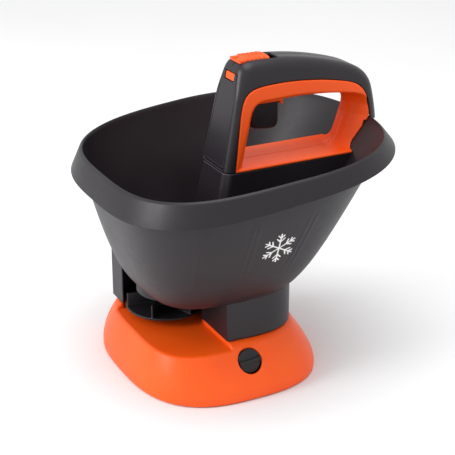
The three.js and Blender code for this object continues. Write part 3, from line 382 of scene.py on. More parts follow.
class Hopper:
    def __init__(self, count):
        angles = even_angles(count)
        self.rim = rim_at(angles)
        centre = (FOOT_OVAL["front"] + FOOT_OVAL["rear"]) / 2
        self.foot = oval(FOOT_OVAL["half_width"], FOOT_OVAL["front"], FOOT_OVAL["rear"],
                         FOOT_OVAL["powers"], centre, angles)
        self.top = rim_z(self.rim[:, 1])
        self.rearward = self.rim[:, 1] / RIM_HALF_LENGTH

    def ring(self, drop, offset, bottom, ribs=False):
        share = wall_share(drop, self.rearward)[:, None]
        wide, low = grown(self.rim, offset), grown(self.foot, offset)
        z = self.top + (bottom - self.top) * drop
        plan = wide + (low - wide) * share
        if ribs:
            plan = grown(plan, side_ribs(plan[:, 0], plan[:, 1], z))
        return np.column_stack([plan, z])

    def rim_ring(self, offset, fall):
        return np.column_stack([grown(self.rim, offset), self.top - fall])

    def slice(self, z, bottom, offset_at):
        drop = np.clip((self.top - z) / (self.top - bottom), 0, 1)
        share = wall_share(drop, self.rearward)[:, None]
        offset = offset_at(drop)
        wide, low = grown(self.rim, offset), grown(self.foot, offset)
        return wide + (low - wide) * share


def side_ribs(x, y, z):
    """Height of the faint leaning ribs moulded on the hopper's two sides and its front corners."""
    height = 0
    for low_y, high_y in RIB_LINES:
        line = low_y + (high_y - low_y) * (z - RIB_Z[0]) / (RIB_Z[1] - RIB_Z[0])
        height = height + np.exp(-((y - line) / RIB_HALF_WIDTH) ** 2)
    ends = smoothstep(z, *RIB_FADES[0]) * (1 - smoothstep(z, *RIB_FADES[1]))
    return RIB_HEIGHT * height * ends * (np.abs(x) > 60)


coarse_hopper = Hopper(160)


def inner_outline(z):
    return coarse_hopper.slice(z, HOPPER_FLOOR, lambda drop: -HOPPER_WALL * drop)


def outer_outline(z):
    return coarse_hopper.slice(z, HOPPER_BOTTOM, lambda drop: HOPPER_WALL * (1 - drop))


hopper_in = Wall(inner_outline, HOPPER_FLOOR, WALL_TABLE_TOP)
hopper_out = Wall(outer_outline, HOPPER_BOTTOM, WALL_TABLE_TOP)


def below_hopper(x, y, z):
    """Distance to the outside of the hopper, negative inside it."""
    return np.maximum(hopper_out(x, y, np.maximum(z, HOPPER_BOTTOM)), HOPPER_BOTTOM - z)


def rounded_profile(corners, reach, count=5):
    """Points along a line of corners, each corner rounded over a reach in millimetres."""
    points = [corners[0]]
    for before, corner, after, cut_back in zip(corners, corners[1:], corners[2:], reach):
        into = before - corner
        out = after - corner
        into *= cut_back / np.linalg.norm(into, axis=0)
        out *= cut_back / np.linalg.norm(out, axis=0)
        for t in np.linspace(0, 1, count):
            points.append(corner + (1 - t) ** 2 * into + t ** 2 * out)
    points.append(corners[-1])
    return points


def build_hopper(material):
    count = HOPPER_POINTS
    fine = Hopper(count)
    drops = 1 - np.linspace(0, 1, 34) ** 1.8 * 0.965
    rings = [fine.ring(d, HOPPER_WALL * (1 - d), HOPPER_BOTTOM, ribs=True) for d in drops]
    fall = BAND_DROP - BAND_DROP_TAPER * fine.rim[:, 1]
    ones = np.ones(count)
    corners = [np.stack([offset * ones, down * ones]) for offset, down in (
        (HOPPER_WALL, 4.8), (RIM_LIP + 1.2, 4.8), (BAND_REACH - BAND_WALL, fall), (BAND_REACH, fall),
        (RIM_LIP, 1.4), (0.9, 0), (0, 0.9))]
    profile = rounded_profile(corners, (0.6, 0.5, 0.7, 1.3, 0.5))
    rings += [fine.rim_ring(offset, down) for offset, down in profile]
    rings += [fine.ring(d, -HOPPER_WALL * d, HOPPER_FLOOR) for d in drops[::-1]]
    vertices = np.concatenate(rings)
    faces = [list(range(count))[::-1]]
    for row in range(len(rings) - 1):
        a = row * count + np.arange(count)
        b = row * count + (np.arange(count) + 1) % count
        faces += np.stack([a, b, b + count, a + count], 1).tolist()
    last = (len(rings) - 1) * count
    faces.append(list(range(last, last + count)))
    piece = make_piece("hopper_bowl", vertices, faces, material, "body", ["hopper"])
    rod_y = leaning_y(ROD_DEPTH, HOPPER_BOTTOM + 1.5)
    holes = [prism(*OUTLET), round_hole(SHAFT, SHAFT_HOLE_RADIUS),
             round_hole((ROD_X, rod_y), ROD_HOLE_RADIUS), round_hole(WIRES, WIRE_HOLE_RADIUS)]
    carve(piece, holes)
    piece.data.set_sharp_from_angle(angle=math.radians(40))
    return piece


def leaning_y(depth, z):
    """Where a line that leans with the tower, at a depth behind its front face, stands at a height."""
    return front_y(z) + depth / math.cos(LEAN)


def prism(x0, x1, y0, y1, z0=70.0, z1=95.0):
    return [(x0, y0), (x1, y0), (x1, y1), (x0, y1)], z0, z1


def round_hole(centre, radius, z0=70.0, z1=95.0):
    turn = np.linspace(0, 2 * math.pi, 48, endpoint=False)
    return [(centre[0] + radius * math.cos(a), centre[1] + radius * math.sin(a)) for a in turn], z0, z1


def carve(piece, holes):
    """Cuts upright holes through a piece."""
    vertices = []
    faces = []
    for outline, z0, z1 in holes:
        start, count = len(vertices), len(outline)
        vertices += [(x, y, z) for z in (z0, z1) for x, y in outline]
        faces.append([start + k for k in range(count)][::-1])
        faces.append([start + count + k for k in range(count)])
        for k in range(count):
            after = (k + 1) % count
            faces.append([start + k, start + after, start + count + after, start + count + k])
    mesh = bpy.data.meshes.new("cutter")
    mesh.from_pydata([tuple(c * MM for c in v) for v in vertices], [], faces)
    cutter = bpy.data.objects.new("cutter", mesh)
    bpy.context.scene.collection.objects.link(cutter)
    modifier = piece.modifiers.new("holes", "BOOLEAN")
    modifier.operation = "DIFFERENCE"
    modifier.solver = "EXACT"
    modifier.object = cutter
    bpy.context.view_layer.update()
    done = bpy.data.meshes.new_from_object(piece.evaluated_get(bpy.context.evaluated_depsgraph_get()))
    piece.modifiers.clear()
    piece.data = done
    bpy.data.objects.remove(cutter)


def snowflake_field(x, y, z):
    """A plain six-armed snowflake printed on the hopper's side, as a thin skin on the wall."""
    across, up = y - FLAKE["y"], (z - FLAKE["z"]) / FLAKE["squash"]
    flake = np.full(np.broadcast(across, up).shape, 1e3)
    for k in range(6):
        turn = k * math.pi / 3 + math.pi / 2
        along = across * math.cos(turn) + up * math.sin(turn)
        aside = np.abs(up * math.cos(turn) - across * math.sin(turn))
        arm = np.hypot(aside, along - np.clip(along, 0, FLAKE["reach"]))
        for start, length in FLAKE_BRANCHES:
            ahead = along - start * FLAKE["reach"]
            reach = np.clip((ahead + aside) * DIAGONAL, 0, length)
            arm = np.minimum(arm, np.hypot(ahead - reach * DIAGONAL, aside - reach * DIAGONAL))
        flake = np.minimum(flake, arm)
    skin = np.abs(hopper_out(x, y, z)) - 0.3
    return round_max(flake - FLAKE["stroke"], skin, 0.1)


# ---- neck, base, dial ----

def throw_space(x, y):
    """The space the salt is thrown through, seen from above."""
    chamber = np.hypot(x - SHAFT[0], y - SHAFT[1]) - CHAMBER_RADIUS
    way = np.maximum(THROW_POST_X - x, y - THROW_WALL_Y)
    return round_min(chamber, way, 2.0)


def neck_outline():
    angles = np.linspace(0, math.pi, 80)
    back = oval(76, -23, 41, (2, 2.8), -22, angles)
    corner, front = 69.5, -102.4
    right = [[corner, front], [corner + 1.5, front + 2], [74.5, -60]]
    left = [[-x, y] for x, y in reversed(right)]
    return np.concatenate([right, back, left])


def neck_field(x, y, z):
    outline = NECK_CORE(x, y) - NECK_CORNER
    hopper = below_hopper(x, y, z)
    reach = 3.0
    near = np.clip(hopper, 0, reach)
    fillet = reach - np.sqrt(reach ** 2 - (reach - near) ** 2)
    throw = throw_space(x, y)
    hollow = np.maximum(outline + NECK_WALL, NECK_WALL - throw)
    solid = np.maximum(outline - fillet, -hollow)
    solid = cut(solid, throw, 0.9)
    solid = cut(solid, hopper + 1.0, 0.2)
    shutter = block(x, y, z, ((-8.4, 15.4), (-60, -24), (78.4, FAR)))
    solid = np.maximum(solid, -shutter)
    return round_max(solid, slab(z, *NECK_Z), 0.3)


def superellipse(x, y, half_width, front, rear, powers):
    """Roughly the distance to an oval with its own front and rear powers."""
    centre = (front + rear) / 2
    power = powers[0] + (powers[1] - powers[0]) * smoothstep(y - centre, -20, 20)
    across = np.abs(x) / half_width
    along = np.abs(y - centre) / ((rear - front) / 2)
    value = (across ** power + along ** power + 1e-12) ** (1 / power)
    slope_x = (across / value) ** (power - 1) / half_width
    slope_y = (along / value) ** (power - 1) / ((rear - front) / 2)
    return (value - 1) / np.hypot(slope_x, slope_y)


def base_oval(x, y, share):
    bottom = BASE_OVAL
    top = BASE_TOP_OVAL
    half_width = bottom["half_width"] + (top["half_width"] - bottom["half_width"]) * share
    front_low, rear_low = bottom["centre"] - bottom["half_length"], bottom["centre"] + bottom["half_length"]
    front = front_low + (top["front"] - front_low) * share
    rear = rear_low + (top["rear"] - rear_low) * share
    powers = [bottom["power"] + (p - bottom["power"]) * share for p in top["powers"]]
    return superellipse(x, y, half_width, front, rear, powers)


def base_body(x, y, z, inset, top):
    rise = np.clip((z - BASE_SKIRT[1]) / (BASE_TOP_Z - BASE_SKIRT[1]), 0, 1)
    share = rise ** 1.3 * 0.97 + 0.03 * smoothstep(z, BASE_SKIRT[1] - 3, BASE_SKIRT[1])
    side = base_oval(x, y, share) * 0.85
    return round_max(side + inset, z - top, 4.5 if inset == 0 else 2.0)


def dial_axes(x, y, z):
    """Down, along and out from the middle of the dial."""
    dx, dy, dz = x - DIAL_POS[0], y - DIAL_POS[1], z - DIAL_POS[2]
    out = dx * math.cos(DIAL_TILT) + dz * math.sin(DIAL_TILT)
    down = dx * math.sin(DIAL_TILT) - dz * math.cos(DIAL_TILT)
    return down, dy, out


def base_field(x, y, z):
    outside = round_max(base_body(x, y, z, 0, BASE_TOP_Z), BASE_SKIRT[0] - z, 0.8)
    throw = throw_space(x, y) - 1.0
    step = np.maximum(throw, DECK_Z - z)
    outside = cut(outside, step, 1.6)
    down, along, out = dial_axes(x, y, z)
    radial = np.hypot(down, along)
    boss = round_max(radial - DIAL_RADIUS - 1.8, slab(out, -14, -0.2), 0.8)
    outside = round_min(outside, boss, 1.6)
    under = np.maximum(base_body(x, y, z, BASE_WALL, DECK_Z - BASE_WALL), -z - 1)
    outside = np.maximum(outside, -under)
    seat = np.maximum(radial - DIAL_RADIUS - 0.6, -1.6 - out)
    bore = np.maximum(radial - 3.3, -30 - out)
    outside = cut(outside, np.minimum(seat, bore), 0.4)
    shaft = np.maximum(np.hypot(x - SHAFT[0], y - SHAFT[1]) - SHAFT_RADIUS - 1, 20 - z)
    wire = np.maximum(np.hypot(x - WIRES[0], y - WIRES[1]) - WIRE_HOLE_RADIUS, 20 - z)
    return cut(outside, np.minimum(shaft, wire), 0.4)


def dial_field(x, y, z):
    down, along, out = dial_axes(x, y, z)
    radial = np.hypot(down, along)
    disc = round_max(radial - DIAL_RADIUS, slab(out, -1.2, DIAL_FACE), 0.9)
    turn = np.arctan2(along, down)
    knurl = np.maximum(0.35 * np.cos(turn * 36), 0) * (out < DIAL_FACE - 0.6)
    disc = disc + knurl
    c, s = math.cos(DIAL_BAR_ANGLE), math.sin(DIAL_BAR_ANGLE)
    lengthways, across = down * c + along * s, along * c - down * s
    waist = 1.5 + 0.012 * lengthways ** 2 / 2
    bar = round_max(round_max(np.abs(lengthways) - DIAL_RADIUS + 0.6, np.abs(across) - waist, 0.6),
                    slab(out, DIAL_FACE - 1, DIAL_FACE + 2.2), 0.7)
    pip = np.sqrt((lengthways - 9.0) ** 2 + across ** 2 + (out - DIAL_FACE - 2.2) ** 2) - 0.9
    knob = cut(round_min(disc, bar, 0.5), pip, 0.2)
    return cut(knob, np.maximum(radial - 2.85, out - 1.2), 0.3)


def impeller_field(x, y, z):
    dx, dy = x - SHAFT[0], y - SHAFT[1]
    radial = np.hypot(dx, dy)
    disc = round_max(radial - IMPELLER_RADIUS, slab(z, *IMPELLER_Z), 0.8)
    hub = round_max(radial - HUB_RADIUS, slab(z, IMPELLER_Z[0], IMPELLER_Z[1] + VANE_HEIGHT), 1.2)
    body = round_min(disc, hub, 2.0)
    for k in range(VANE_COUNT):
        turn = k * 2 * math.pi / VANE_COUNT + VANE_START
        along = dx * math.cos(turn) + dy * math.sin(turn)
        across = dy * math.cos(turn) - dx * math.sin(turn) + 3
        vane = block(along, across, z, ((7, 38), (-0.9, 0.9), (53, 67)), 0.6)
        body = round_min(body, vane, 1.0)
    return cut(body, radial - SHAFT_RADIUS - GAP, 0.3)


# ---- tower and handle ----

def front_y(z):
    return HANDLE_FRONT_Y + (z - HANDLE_BOTTOM) * math.tan(LEAN)


def half_width(z):
    return 28.4 - 0.08 * (z - HANDLE_BOTTOM)


def on_front(y, z):
    """Depth behind the front face, and height up it."""
    dy, dz = y - HANDLE_FRONT_Y, z - HANDLE_BOTTOM
    return dy * math.cos(LEAN) - dz * math.sin(LEAN), dy * math.sin(LEAN) + dz * math.cos(LEAN)


def arch_outline():
    low = 170.0
    return path((front_y(low), low), [(front_y(282), 282)],
                [(-4.6, 291), (-0.5, 296), (10, 296.6)],
                [(45, 297.6), (80, 292), (110, 282.6)],
                [(128, 276.8), (138, 270), (141.2, 254)],
                [(143.2, 244), (144.6, 236), (145.4, 224)],
                [(141, 219)], [(114, 195.3)], [(100, low)])


def window_outline():
    return path((-18.1, 170), [(-14.6, 193.3)], [(-7.5, 244)],
                [(-4, 266), (0, 271), (18, 273.2)],
                [(50, 276), (85, 272.5), (112, 265.6)],
                [(127, 261), (131.4, 252), (133.4, 236)],
                [(134.6, 224.5)], [(129.4, 224.1)], [(120.8, 193.3)], [(114, 170)])


def opening_outline():
    depth = COLUMN_DEPTH / math.cos(LEAN)
    return path((front_y(170) + depth, 170), [(front_y(240) + depth, 240)],
                [(front_y(250) + depth, 250), (10, 255), (19, 255.4)],
                [(45, 256.8), (70, 257.6), (92, 254.8)],
                [(108, 252.6), (118.6, 250), (118.5, 240)],
                [(117, 229.5)], [(105.8, 197.6)], [(96, 170)])


def door_outline():
    half_low, half_middle, half_high = DOOR["halves"]
    right = [[half_low, DOOR["bottom"]], [half_middle, DOOR["middle"]], [half_high, DOOR["top"]]]
    return np.array(right + [[-x, z] for x, z in reversed(right)])


def trigger_outline():
    t = TRIGGER
    front, rear, bottom = t["front"], t["rear"], t["bottom"]
    return path((front, t["top"]), [(front, bottom + 8)],
                [(front, bottom + 3), (front + 1, bottom), (front + 6, bottom - 0.4)],
                [(front + 14, bottom - 1.6), (rear - 12, bottom - 2), (rear - 6, bottom - 1.9)],
                [(rear - 2, bottom - 1.6), (rear, bottom + 1), (rear, bottom + 6)],
                [(rear, t["top"])])


ARCH = Outline(arch_outline())
WINDOW = Outline(window_outline())
OPENING = Outline(opening_outline())
DOOR_FACE = Outline(door_outline(), 0.3)
TRIGGER_SIDE = Outline(trigger_outline(), 0.3, 12)
NECK_CORE = Outline(grown(neck_outline(), -NECK_CORNER), 0.5)


def arch(x, y, z, inset):
    top = smoothstep(z, 262, 290)
    rear = smoothstep(y, 20, 60)
    bevel = 8 - 2.4 * np.clip((z - HANDLE_BOTTOM) / 66.7, 0, 1)
    radius = np.maximum(bevel + (12 - bevel) * np.maximum(top, rear) - inset, 0.8)
    return round_max(ARCH(y, z) + inset, np.abs(x) - half_width(z) + inset, radius)


def tongue_block(x, depth, height, depths, room, radius=0.4):
    """The latch's tongue, or with some room the slot it slides in."""
    half, low, high = TONGUE["half"] + room, TONGUE["low"] - room, TONGUE["high"] + room
    return block(x, depth, height, ((-half, half), depths, (low, high)), radius)


def handle_field(x, y, z):
    outside = arch(x, y, z, 0)
    body = np.maximum(outside, -arch(x, y, z, HANDLE_WALL))
    for screw_y, screw_z in HANDLE_SCREWS:
        radial = np.hypot(y - screw_y, z - screw_z)
        body = np.minimum(body, np.maximum(radial - 4.6, outside))
        body = cut(body, np.maximum(radial - 3.3, x + half_width(z) - 4), 0.3)
    body = cut(body, WINDOW(y, z), 0.7)
    body = round_max(body, HANDLE_BOTTOM - z, 0.3)
    depth, height = on_front(y, z)
    seat = np.maximum(DOOR_FACE(x, height) - 0.4, depth - DOOR["thickness"] - 0.4)
    barrel = np.maximum(np.hypot(depth - HINGE["depth"], height - HINGE["height"]) - HINGE["barrel"] - 0.4,
                        np.abs(x) - HINGE["half"] - 0.4)
    body = cut(body, np.minimum(seat, barrel), 0.4)
    body = cut(body, tongue_block(x, depth, height, (-5, 20), TONGUE["room"]), 0.3)
    body = cut(body, block(x, y, z, ((-11, 11), (-9, 39.2), (293.4, FAR)), 2.0), 0.6)
    body = cut(body, block(x, y, z, ((-4.5, 4.5), (10, 27), (285, FAR))), 0.3)
    behind_rim = np.maximum(110 - y, z - 224.5)
    return cut(body, behind_rim, 0.3)


def liner_opening(x, y, z, extra):
    back = smoothstep(y, 50, 114)
    shifted = y - np.interp(np.abs(x), EDGE_X, EDGE_BACK) * back
    out = np.interp(np.abs(x), EDGE_X, EDGE_OUT) * (1 - 0.75 * back)
    return round_max(OPENING(shifted, z) - out - extra, LEDGE_TOP - extra - z, 1.5 + 7 * back)


def liner_field(x, y, z):
    outside = round_max(WINDOW(y, z) + GAP, np.abs(x) - half_width(z) - 0.4, 0.9)
    hollow = np.maximum(np.maximum(WINDOW(y, z) - 12, -liner_opening(x, y, z, LINER_WALL)),
                        np.abs(x) - half_width(z) + LINER_WALL)
    body = cut(outside, liner_opening(x, y, z, 0), 1.2)
    t = TRIGGER
    spans = ((-t["half"] - 2.2, t["half"] + 2.2), (t["front"] - 2.4, t["rear"] + 2.8), (253.0, 259))
    ring = block(x, y, z, spans, 0.8)
    hook = block(x, y, z, ((-5, t["half"] + 2.2), (t["rear"] + 0.8, t["rear"] + 3.4), (250.2, 256)), 0.6)
    body = round_min(np.maximum(body, -hollow), np.minimum(ring, hook), 0.6)
    spans = ((-t["half"] - 0.6, t["half"] + 0.6), (t["front"] - 0.6, t["rear"] + 0.6), (240, 263))
    way = block(x, y, z, spans, 0.8)
    body = cut(body, way, 0.4)
    seam = np.maximum(np.abs(y - 66) - 0.35, LEDGE_TOP - 0.35 - z)
    body = cut(body, np.maximum(seam, z - LEDGE_TOP - 1), 0.2)
    body = np.maximum(body, hopper_in(x, y, z) + GAP)
    return round_max(body, HANDLE_BOTTOM - z, 0.3)


def tower(x, y, z, inset):
    """The tower's section: a front face with a bevel at each side, running back to the rear wall."""
    front = front_y(z)
    side = 28.2 + (HANDLE_BOTTOM - z) * 0.03
    face = 20 + (HANDLE_BOTTOM - z) * 0.06
    flat = round_max((front - y) * math.cos(LEAN) + inset, np.abs(x) - side + inset, 0.5)
    slant = ((np.abs(x) - face) * 6 - (y - front) * (side - face)) / np.hypot(6, side - face)
    return round_max(flat, slant + inset, 1.5)


def pedestal_field(x, y, z):
    low, high = HOPPER_FLOOR - 0.4, HANDLE_BOTTOM - GAP
    inner = tower(x, y, z, HANDLE_WALL)
    body = np.maximum(tower(x, y, z, 0), hopper_in(x, y, z) - 0.6)
    body = round_max(body, slab(z, low, high), 0.5)
    well = np.maximum(np.maximum(inner, np.abs(x) - 24.5), np.maximum(y - 2, 150 - z))
    floor_room = block(x, y, z, ((-24, 24), (-42, 30), (80, HOPPER_FLOOR + 8)))
    cavity = np.maximum(np.maximum(inner, z - high + HANDLE_WALL),
                        np.minimum(hopper_in(x, y, z) + HANDLE_WALL + GAP, floor_room))
    return np.maximum(body, -np.minimum(well, cavity))


def door_field(x, y, z):
    depth, height = on_front(y, z)
    plate = round_max(DOOR_FACE(x, height), slab(depth, 0, DOOR["thickness"]), 0.7)
    radial = np.hypot(depth - HINGE["depth"], height - HINGE["height"])
    barrel = np.maximum(radial - HINGE["barrel"], np.abs(x) - HINGE["half"])
    body = cut(round_min(plate, barrel, 0.3), radial - HINGE["pin"] - GAP, 0.15)
    notch = np.maximum(np.abs(x) - TONGUE["half"] - TONGUE["room"], TONGUE["low"] - TONGUE["room"] - height)
    return cut(body, notch, 0.4)


def slider_field(x, y, z):
    t = THUMB
    half, front, rear, edge, crown = t["half"], t["front"], t["rear"], t["edge"], t["crown"]
    rise = crown - 1.2 - edge
    radius = (half ** 2 + rise ** 2) / (2 * rise)
    dome = np.hypot(x, z - (crown - 1.2 - radius)) - radius
    plan = round_max(np.abs(x) - half, slab(y, front, rear), 1.2)
    pad = round_max(round_max(plan, dome, 0.7), t["low"] - z, 0.2)
    ribs = np.full(np.broadcast(x, y, z).shape, 1e3)
    for k in range(5):
        middle = 7.2 + 4.4 * k + 3 * (1 - np.abs(x) / half)
        ribs = np.minimum(ribs, (np.abs(y - middle) - 0.85) * 0.95)
    ridge = round_max(round_max(ribs, dome - 1.15, 0.5), np.maximum(plan + 0.2, edge - 1 - z), 0.3)
    pad = round_min(pad, ridge, 0.35)
    notch = np.maximum((np.abs(x) + (y - front + 1) * 5 / 7 - 5) * 0.81, edge - 0.6 - z)
    pad = cut(pad, notch, 0.3)
    depth, height = on_front(y, z)
    tongue = tongue_block(x, depth, height, (0.5, 8), 0, 0.8)
    stem = block(x, y, z, ((-4, 4), (10.6, 18.6), (281, 295)))
    bar = block(x, y, z, ((-4, 4), (-1.5, 18.6), (281, 284.4)))
    return np.minimum(pad, np.minimum(tongue, np.minimum(stem, bar)))


def trigger_field(x, y, z):
    t = TRIGGER
    body = round_max(TRIGGER_SIDE(y, z), np.abs(x) - t["half"], 2.2)
    hollow = block(x, y, z, ((-t["half"] + 2, t["half"] - 2), (t["front"] + 2, t["rear"] - 2),
                             (t["bottom"] + 8, FAR)))
    lip = block(x, y, z, ((-t["half"] - 2.2, t["half"] + 2.2), (t["front"] - 2.2, t["rear"] + 1.4),
                          (t["flange"], t["top"])))
    rod_y = leaning_y(ROD_DEPTH, t["top"])
    arm = block(x, y, z, ((t["half"] - 2, ROD_X + 1.9), (rod_y - 4, t["front"] + 2), (t["flange"], t["top"])))
    slot = block(x, y, z, ((ROD_X - ROD_RADIUS - 0.4, FAR), (rod_y - 2.3, rod_y + 3.3), (250, FAR)))
    body = np.minimum(body, np.minimum(lip, arm))
    return cut(body, np.minimum(hollow, slot), 0.3)


def half_of(field, side):
    """One half of a piece that is split down the middle."""
    return lambda x, y, z: round_max(field(x, y, z), GAP / 2 - side * x, 0.25)


# ---- materials ----

def linear(colour):
    """sRGB 0-255 to the shader's linear colour."""
    shares = [v / 255 for v in colour]
    return [c / 12.92 if c <= 0.04045 else ((c + 0.055) / 1.055) ** 2.4 for c in shares] + [1]


def plastic(name, dark, light, roughness, grain=0.35, grain_scale=1400, mottle=22, specular=0.5):
    """Moulded plastic: slow colour drift, an even fine grain in the surface, and faint changes of gloss."""
    material = bpy.data.materials.new(name)
    material.use_nodes = True
    nodes, links = material.node_tree.nodes, material.node_tree.links
    shader = nodes["Principled BSDF"]
    shader.inputs["Specular IOR Level"].default_value = specular
    place = nodes.new("ShaderNodeTexCoord")

    def noise(scale, detail):
        node = nodes.new("ShaderNodeTexNoise")
        node.inputs["Scale"].default_value = scale
        node.inputs["Detail"].default_value = detail
        links.new(place.outputs["Object"], node.inputs["Vector"])
        return node

    drift = noise(mottle, 4)
    ramp = nodes.new("ShaderNodeValToRGB")
    ramp.color_ramp.elements[0].position = 0.3
    ramp.color_ramp.elements[1].position = 0.7
    ramp.color_ramp.elements[0].color = linear(dark)
    ramp.color_ramp.elements[1].color = linear(light)
    links.new(drift.outputs["Fac"], ramp.inputs["Fac"])
    links.new(ramp.outputs["Color"], shader.inputs["Base Color"])
    rub = noise(mottle * 6, 3)
    gloss = nodes.new("ShaderNodeMapRange")
    gloss.inputs["To Min"].default_value = roughness - 0.05
    gloss.inputs["To Max"].default_value = roughness + 0.06
    links.new(rub.outputs["Fac"], gloss.inputs["Value"])
    links.new(gloss.outputs["Result"], shader.inputs["Roughness"])
    fine = noise(grain_scale, 2)
    bump = nodes.new("ShaderNodeBump")
    bump.inputs["Strength"].default_value = grain
    bump.inputs["Distance"].default_value = 0.0001
    links.new(fine.outputs["Fac"], bump.inputs["Height"])
    links.new(bump.outputs["Normal"], shader.inputs["Normal"])
    return material


def metal(name, dark, light, roughness, brushed=260):
    """Metal with a fine mottle in its colour and gloss."""
    material = plastic(name, dark, light, roughness, 0.25, 900, brushed)
    material.node_tree.nodes["Principled BSDF"].inputs["Metallic"].default_value = 1
    return material


black = plastic("black_plastic", (27, 23, 28), (32, 28, 33), 0.42, specular=0.4)
tower_black = plastic("black_plastic_smooth", (30, 26, 31), (36, 31, 37), 0.36, 0.2, specular=0.42)
orange = plastic("orange_plastic", (250, 84, 12), (253, 94, 18), 0.4, 0.22, specular=0.35)
dark_plastic = plastic("dark_plastic", (22, 20, 23), (29, 26, 30), 0.45, specular=0.4)
rubber = plastic("rubber", (22, 22, 23), (33, 33, 34), 0.85, 0.6, 700)
steel = metal("steel", (150, 152, 156), (196, 198, 202), 0.3)
nickel = metal("nickel", (168, 164, 152), (205, 201, 190), 0.24)
board = plastic("circuit_board", (20, 78, 42), (34, 104, 58), 0.42, 0.5, 500, 160)
cell_wrap = plastic("cell_wrap", (30, 74, 120), (38, 90, 142), 0.3, 0.1)
white_print = plastic("white_print", (232, 232, 230), (240, 240, 238), 0.5, 0.1)
jacket = plastic("wire_jacket", (122, 26, 22), (150, 34, 28), 0.5, 0.3)


# ---- building ----

build_hopper(black)
shell("snowflake_print", snowflake_field, (84, -34, 130), (118, 8, 172), 0.45, white_print, "body")
shell("neck_collar", neck_field, (-82, -108, 46), (82, 46, 102), 1.0, black, "body", ["neck_housing"])
shell("base_body", base_field, (-110, -128, -1), (110, 65, 50), 1.0, orange, "body", ["base_shell"])
shell("tower_pedestal", pedestal_field, (-34, -52, 86), (34, 136, 197), 1.0, tower_black, "body",
      ["pedestal"])
for side, name in ((-1, "left"), (1, "right")):
    spans = sorted((side * -1.5, side * 31.0))
    shell(f"handle_shell_{name}", half_of(handle_field, side), (spans[0], -28, 193), (spans[1], 149, 300),
          0.8, tower_black, "body", [f"handle_{name}"])
    shell(f"liner_{name}", half_of(liner_field, side), (spans[0], -20, 193), (spans[1], 138, 278),
          0.7, orange, "body", [f"grip_liner_{name}"])
shell("battery_hatch", door_field, (-22, -27, 195), (22, -1, 288), 0.5, tower_black, "door", ["battery_door"])
shell("latch_pad", slider_field, (-12, -8, 276), (12, 33, 301), 0.4, orange, "latch", ["latch_slider"])
shell("trigger_piece", trigger_field, (-14, 4, 224), (22, 45, 264), 0.55, dark_plastic, "trigger",
      ["trigger"])
shell("dial_knob", dial_field, (80, -46, 16), (97, -17, 46), 0.35, dark_plastic, "dial", ["speed_dial"])
shell("impeller_wheel", impeller_field, (-60, -108, 50), (22, -26, 69), 0.7, dark_plastic, "rotor",
      ["impeller"])

CAD_FINISHES = {
    "base_plate": dark_plastic, "foot": rubber, "base_screw": steel, "stack_screw": steel, "motor": nickel,
    "motor_clamp": steel, "clamp_screw": steel, "drive_shaft": steel, "agitator": dark_plastic,
    "shaft_seal": rubber, "shutter_guide": dark_plastic, "guide_screw": steel, "shutter_plate": steel,
    "control_rod": steel, "pedestal_screw": steel, "handle_screw": steel, "door_hinge_pin": steel,
    "battery_tray": dark_plastic, "battery_cell": cell_wrap,
    "contact_spring": nickel, "contact_plate": nickel,
    "latch_spring": steel, "trigger_spring": steel, "microswitch": dark_plastic, "dial_pot": nickel,
    "control_board": board, "wire_loom": jacket,
}


def finish_cad_nodes():
    """Gives every CAD node that still shows its material, and softens its edges."""
    for name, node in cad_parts.items():
        if node.hide_render:
            continue
        stem = name.rstrip("0123456789").rstrip("_")
        stem = stem.removesuffix("_left").removesuffix("_right")
        node.data.materials.clear()
        node.data.materials.append(CAD_FINISHES[stem])
        weld = node.modifiers.new("weld", "WELD")
        weld.merge_threshold = 1e-6
        if "spring" not in stem and stem != "wire_loom":
            bevel = node.modifiers.new("bevel", "BEVEL")
            bevel.width = 0.00025
            bevel.segments = 2
            bevel.limit_method = "ANGLE"
            bevel.angle_limit = math.radians(40)


finish_cad_nodes()


# ---- floor, light and camera ----

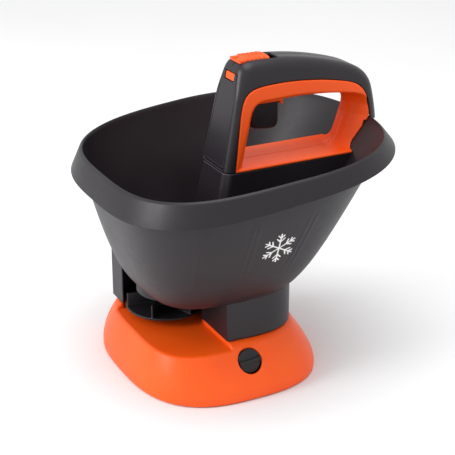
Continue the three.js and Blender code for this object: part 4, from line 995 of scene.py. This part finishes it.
def build_floor():
    """A wide pale sheet under the object."""
    steps = FLOOR_STEPS
    ticks = np.linspace(-FLOOR_HALF, FLOOR_HALF, steps + 1)
    vertices = [(x, y, 0) for y in ticks for x in ticks]
    faces = []
    for row in range(steps):
        for k in range(steps):
            a = row * (steps + 1) + k
            faces.append((a, a + 1, a + steps + 2, a + steps + 1))
    mesh = bpy.data.meshes.new("floor")
    mesh.from_pydata(vertices, [], faces)
    floor = bpy.data.objects.new("floor", mesh)
    bpy.context.scene.collection.objects.link(floor)
    mesh.materials.append(plastic("floor_sheet", (240, 240, 241), (243, 243, 244), 0.7, 0.05, 300, 2, 0.2))


def add_light(name, location, target, size, power):
    data = bpy.data.lights.new(name, "AREA")
    data.shape = "RECTANGLE"
    data.size, data.size_y = size
    data.energy = power
    light = bpy.data.objects.new(name, data)
    light.location = location
    light.rotation_mode = "QUATERNION"
    light.rotation_quaternion = (Vector(target) - Vector(location)).to_track_quat("-Z", "Y")
    bpy.context.scene.collection.objects.link(light)


def add_camera():
    data = bpy.data.cameras.new("camera")
    data.lens = CAMERA["lens"]
    data.sensor_width = 36
    camera = bpy.data.objects.new("camera", data)
    right = Vector(CAMERA["right"]).normalized()
    ahead = Vector(CAMERA["ahead"]).normalized()
    up = right.cross(ahead)
    basis = Matrix((right, up, -ahead)).transposed().to_4x4()
    camera.matrix_world = Matrix.Translation(CAMERA["place"]) @ basis
    bpy.context.scene.collection.objects.link(camera)
    bpy.context.scene.camera = camera


def light_world(strength):
    world = bpy.data.worlds.new("studio")
    world.use_nodes = True
    background = world.node_tree.nodes["Background"]
    background.inputs["Color"].default_value = (1, 1, 1, 1)
    background.inputs["Strength"].default_value = strength
    bpy.context.scene.world = world


build_floor()
light_world(WORLD_STRENGTH)
add_light("front", (-0.15, -1.7, 0.85), (0, 0, 0.15), (0.7, 0.7), LIGHT_POWER)
add_light("top", (0.2, -0.1, 1.9), (0, 0, 0.2), (1.3, 1.3), LIGHT_POWER)
add_camera()
bpy.context.scene.view_settings.view_transform = "Standard"
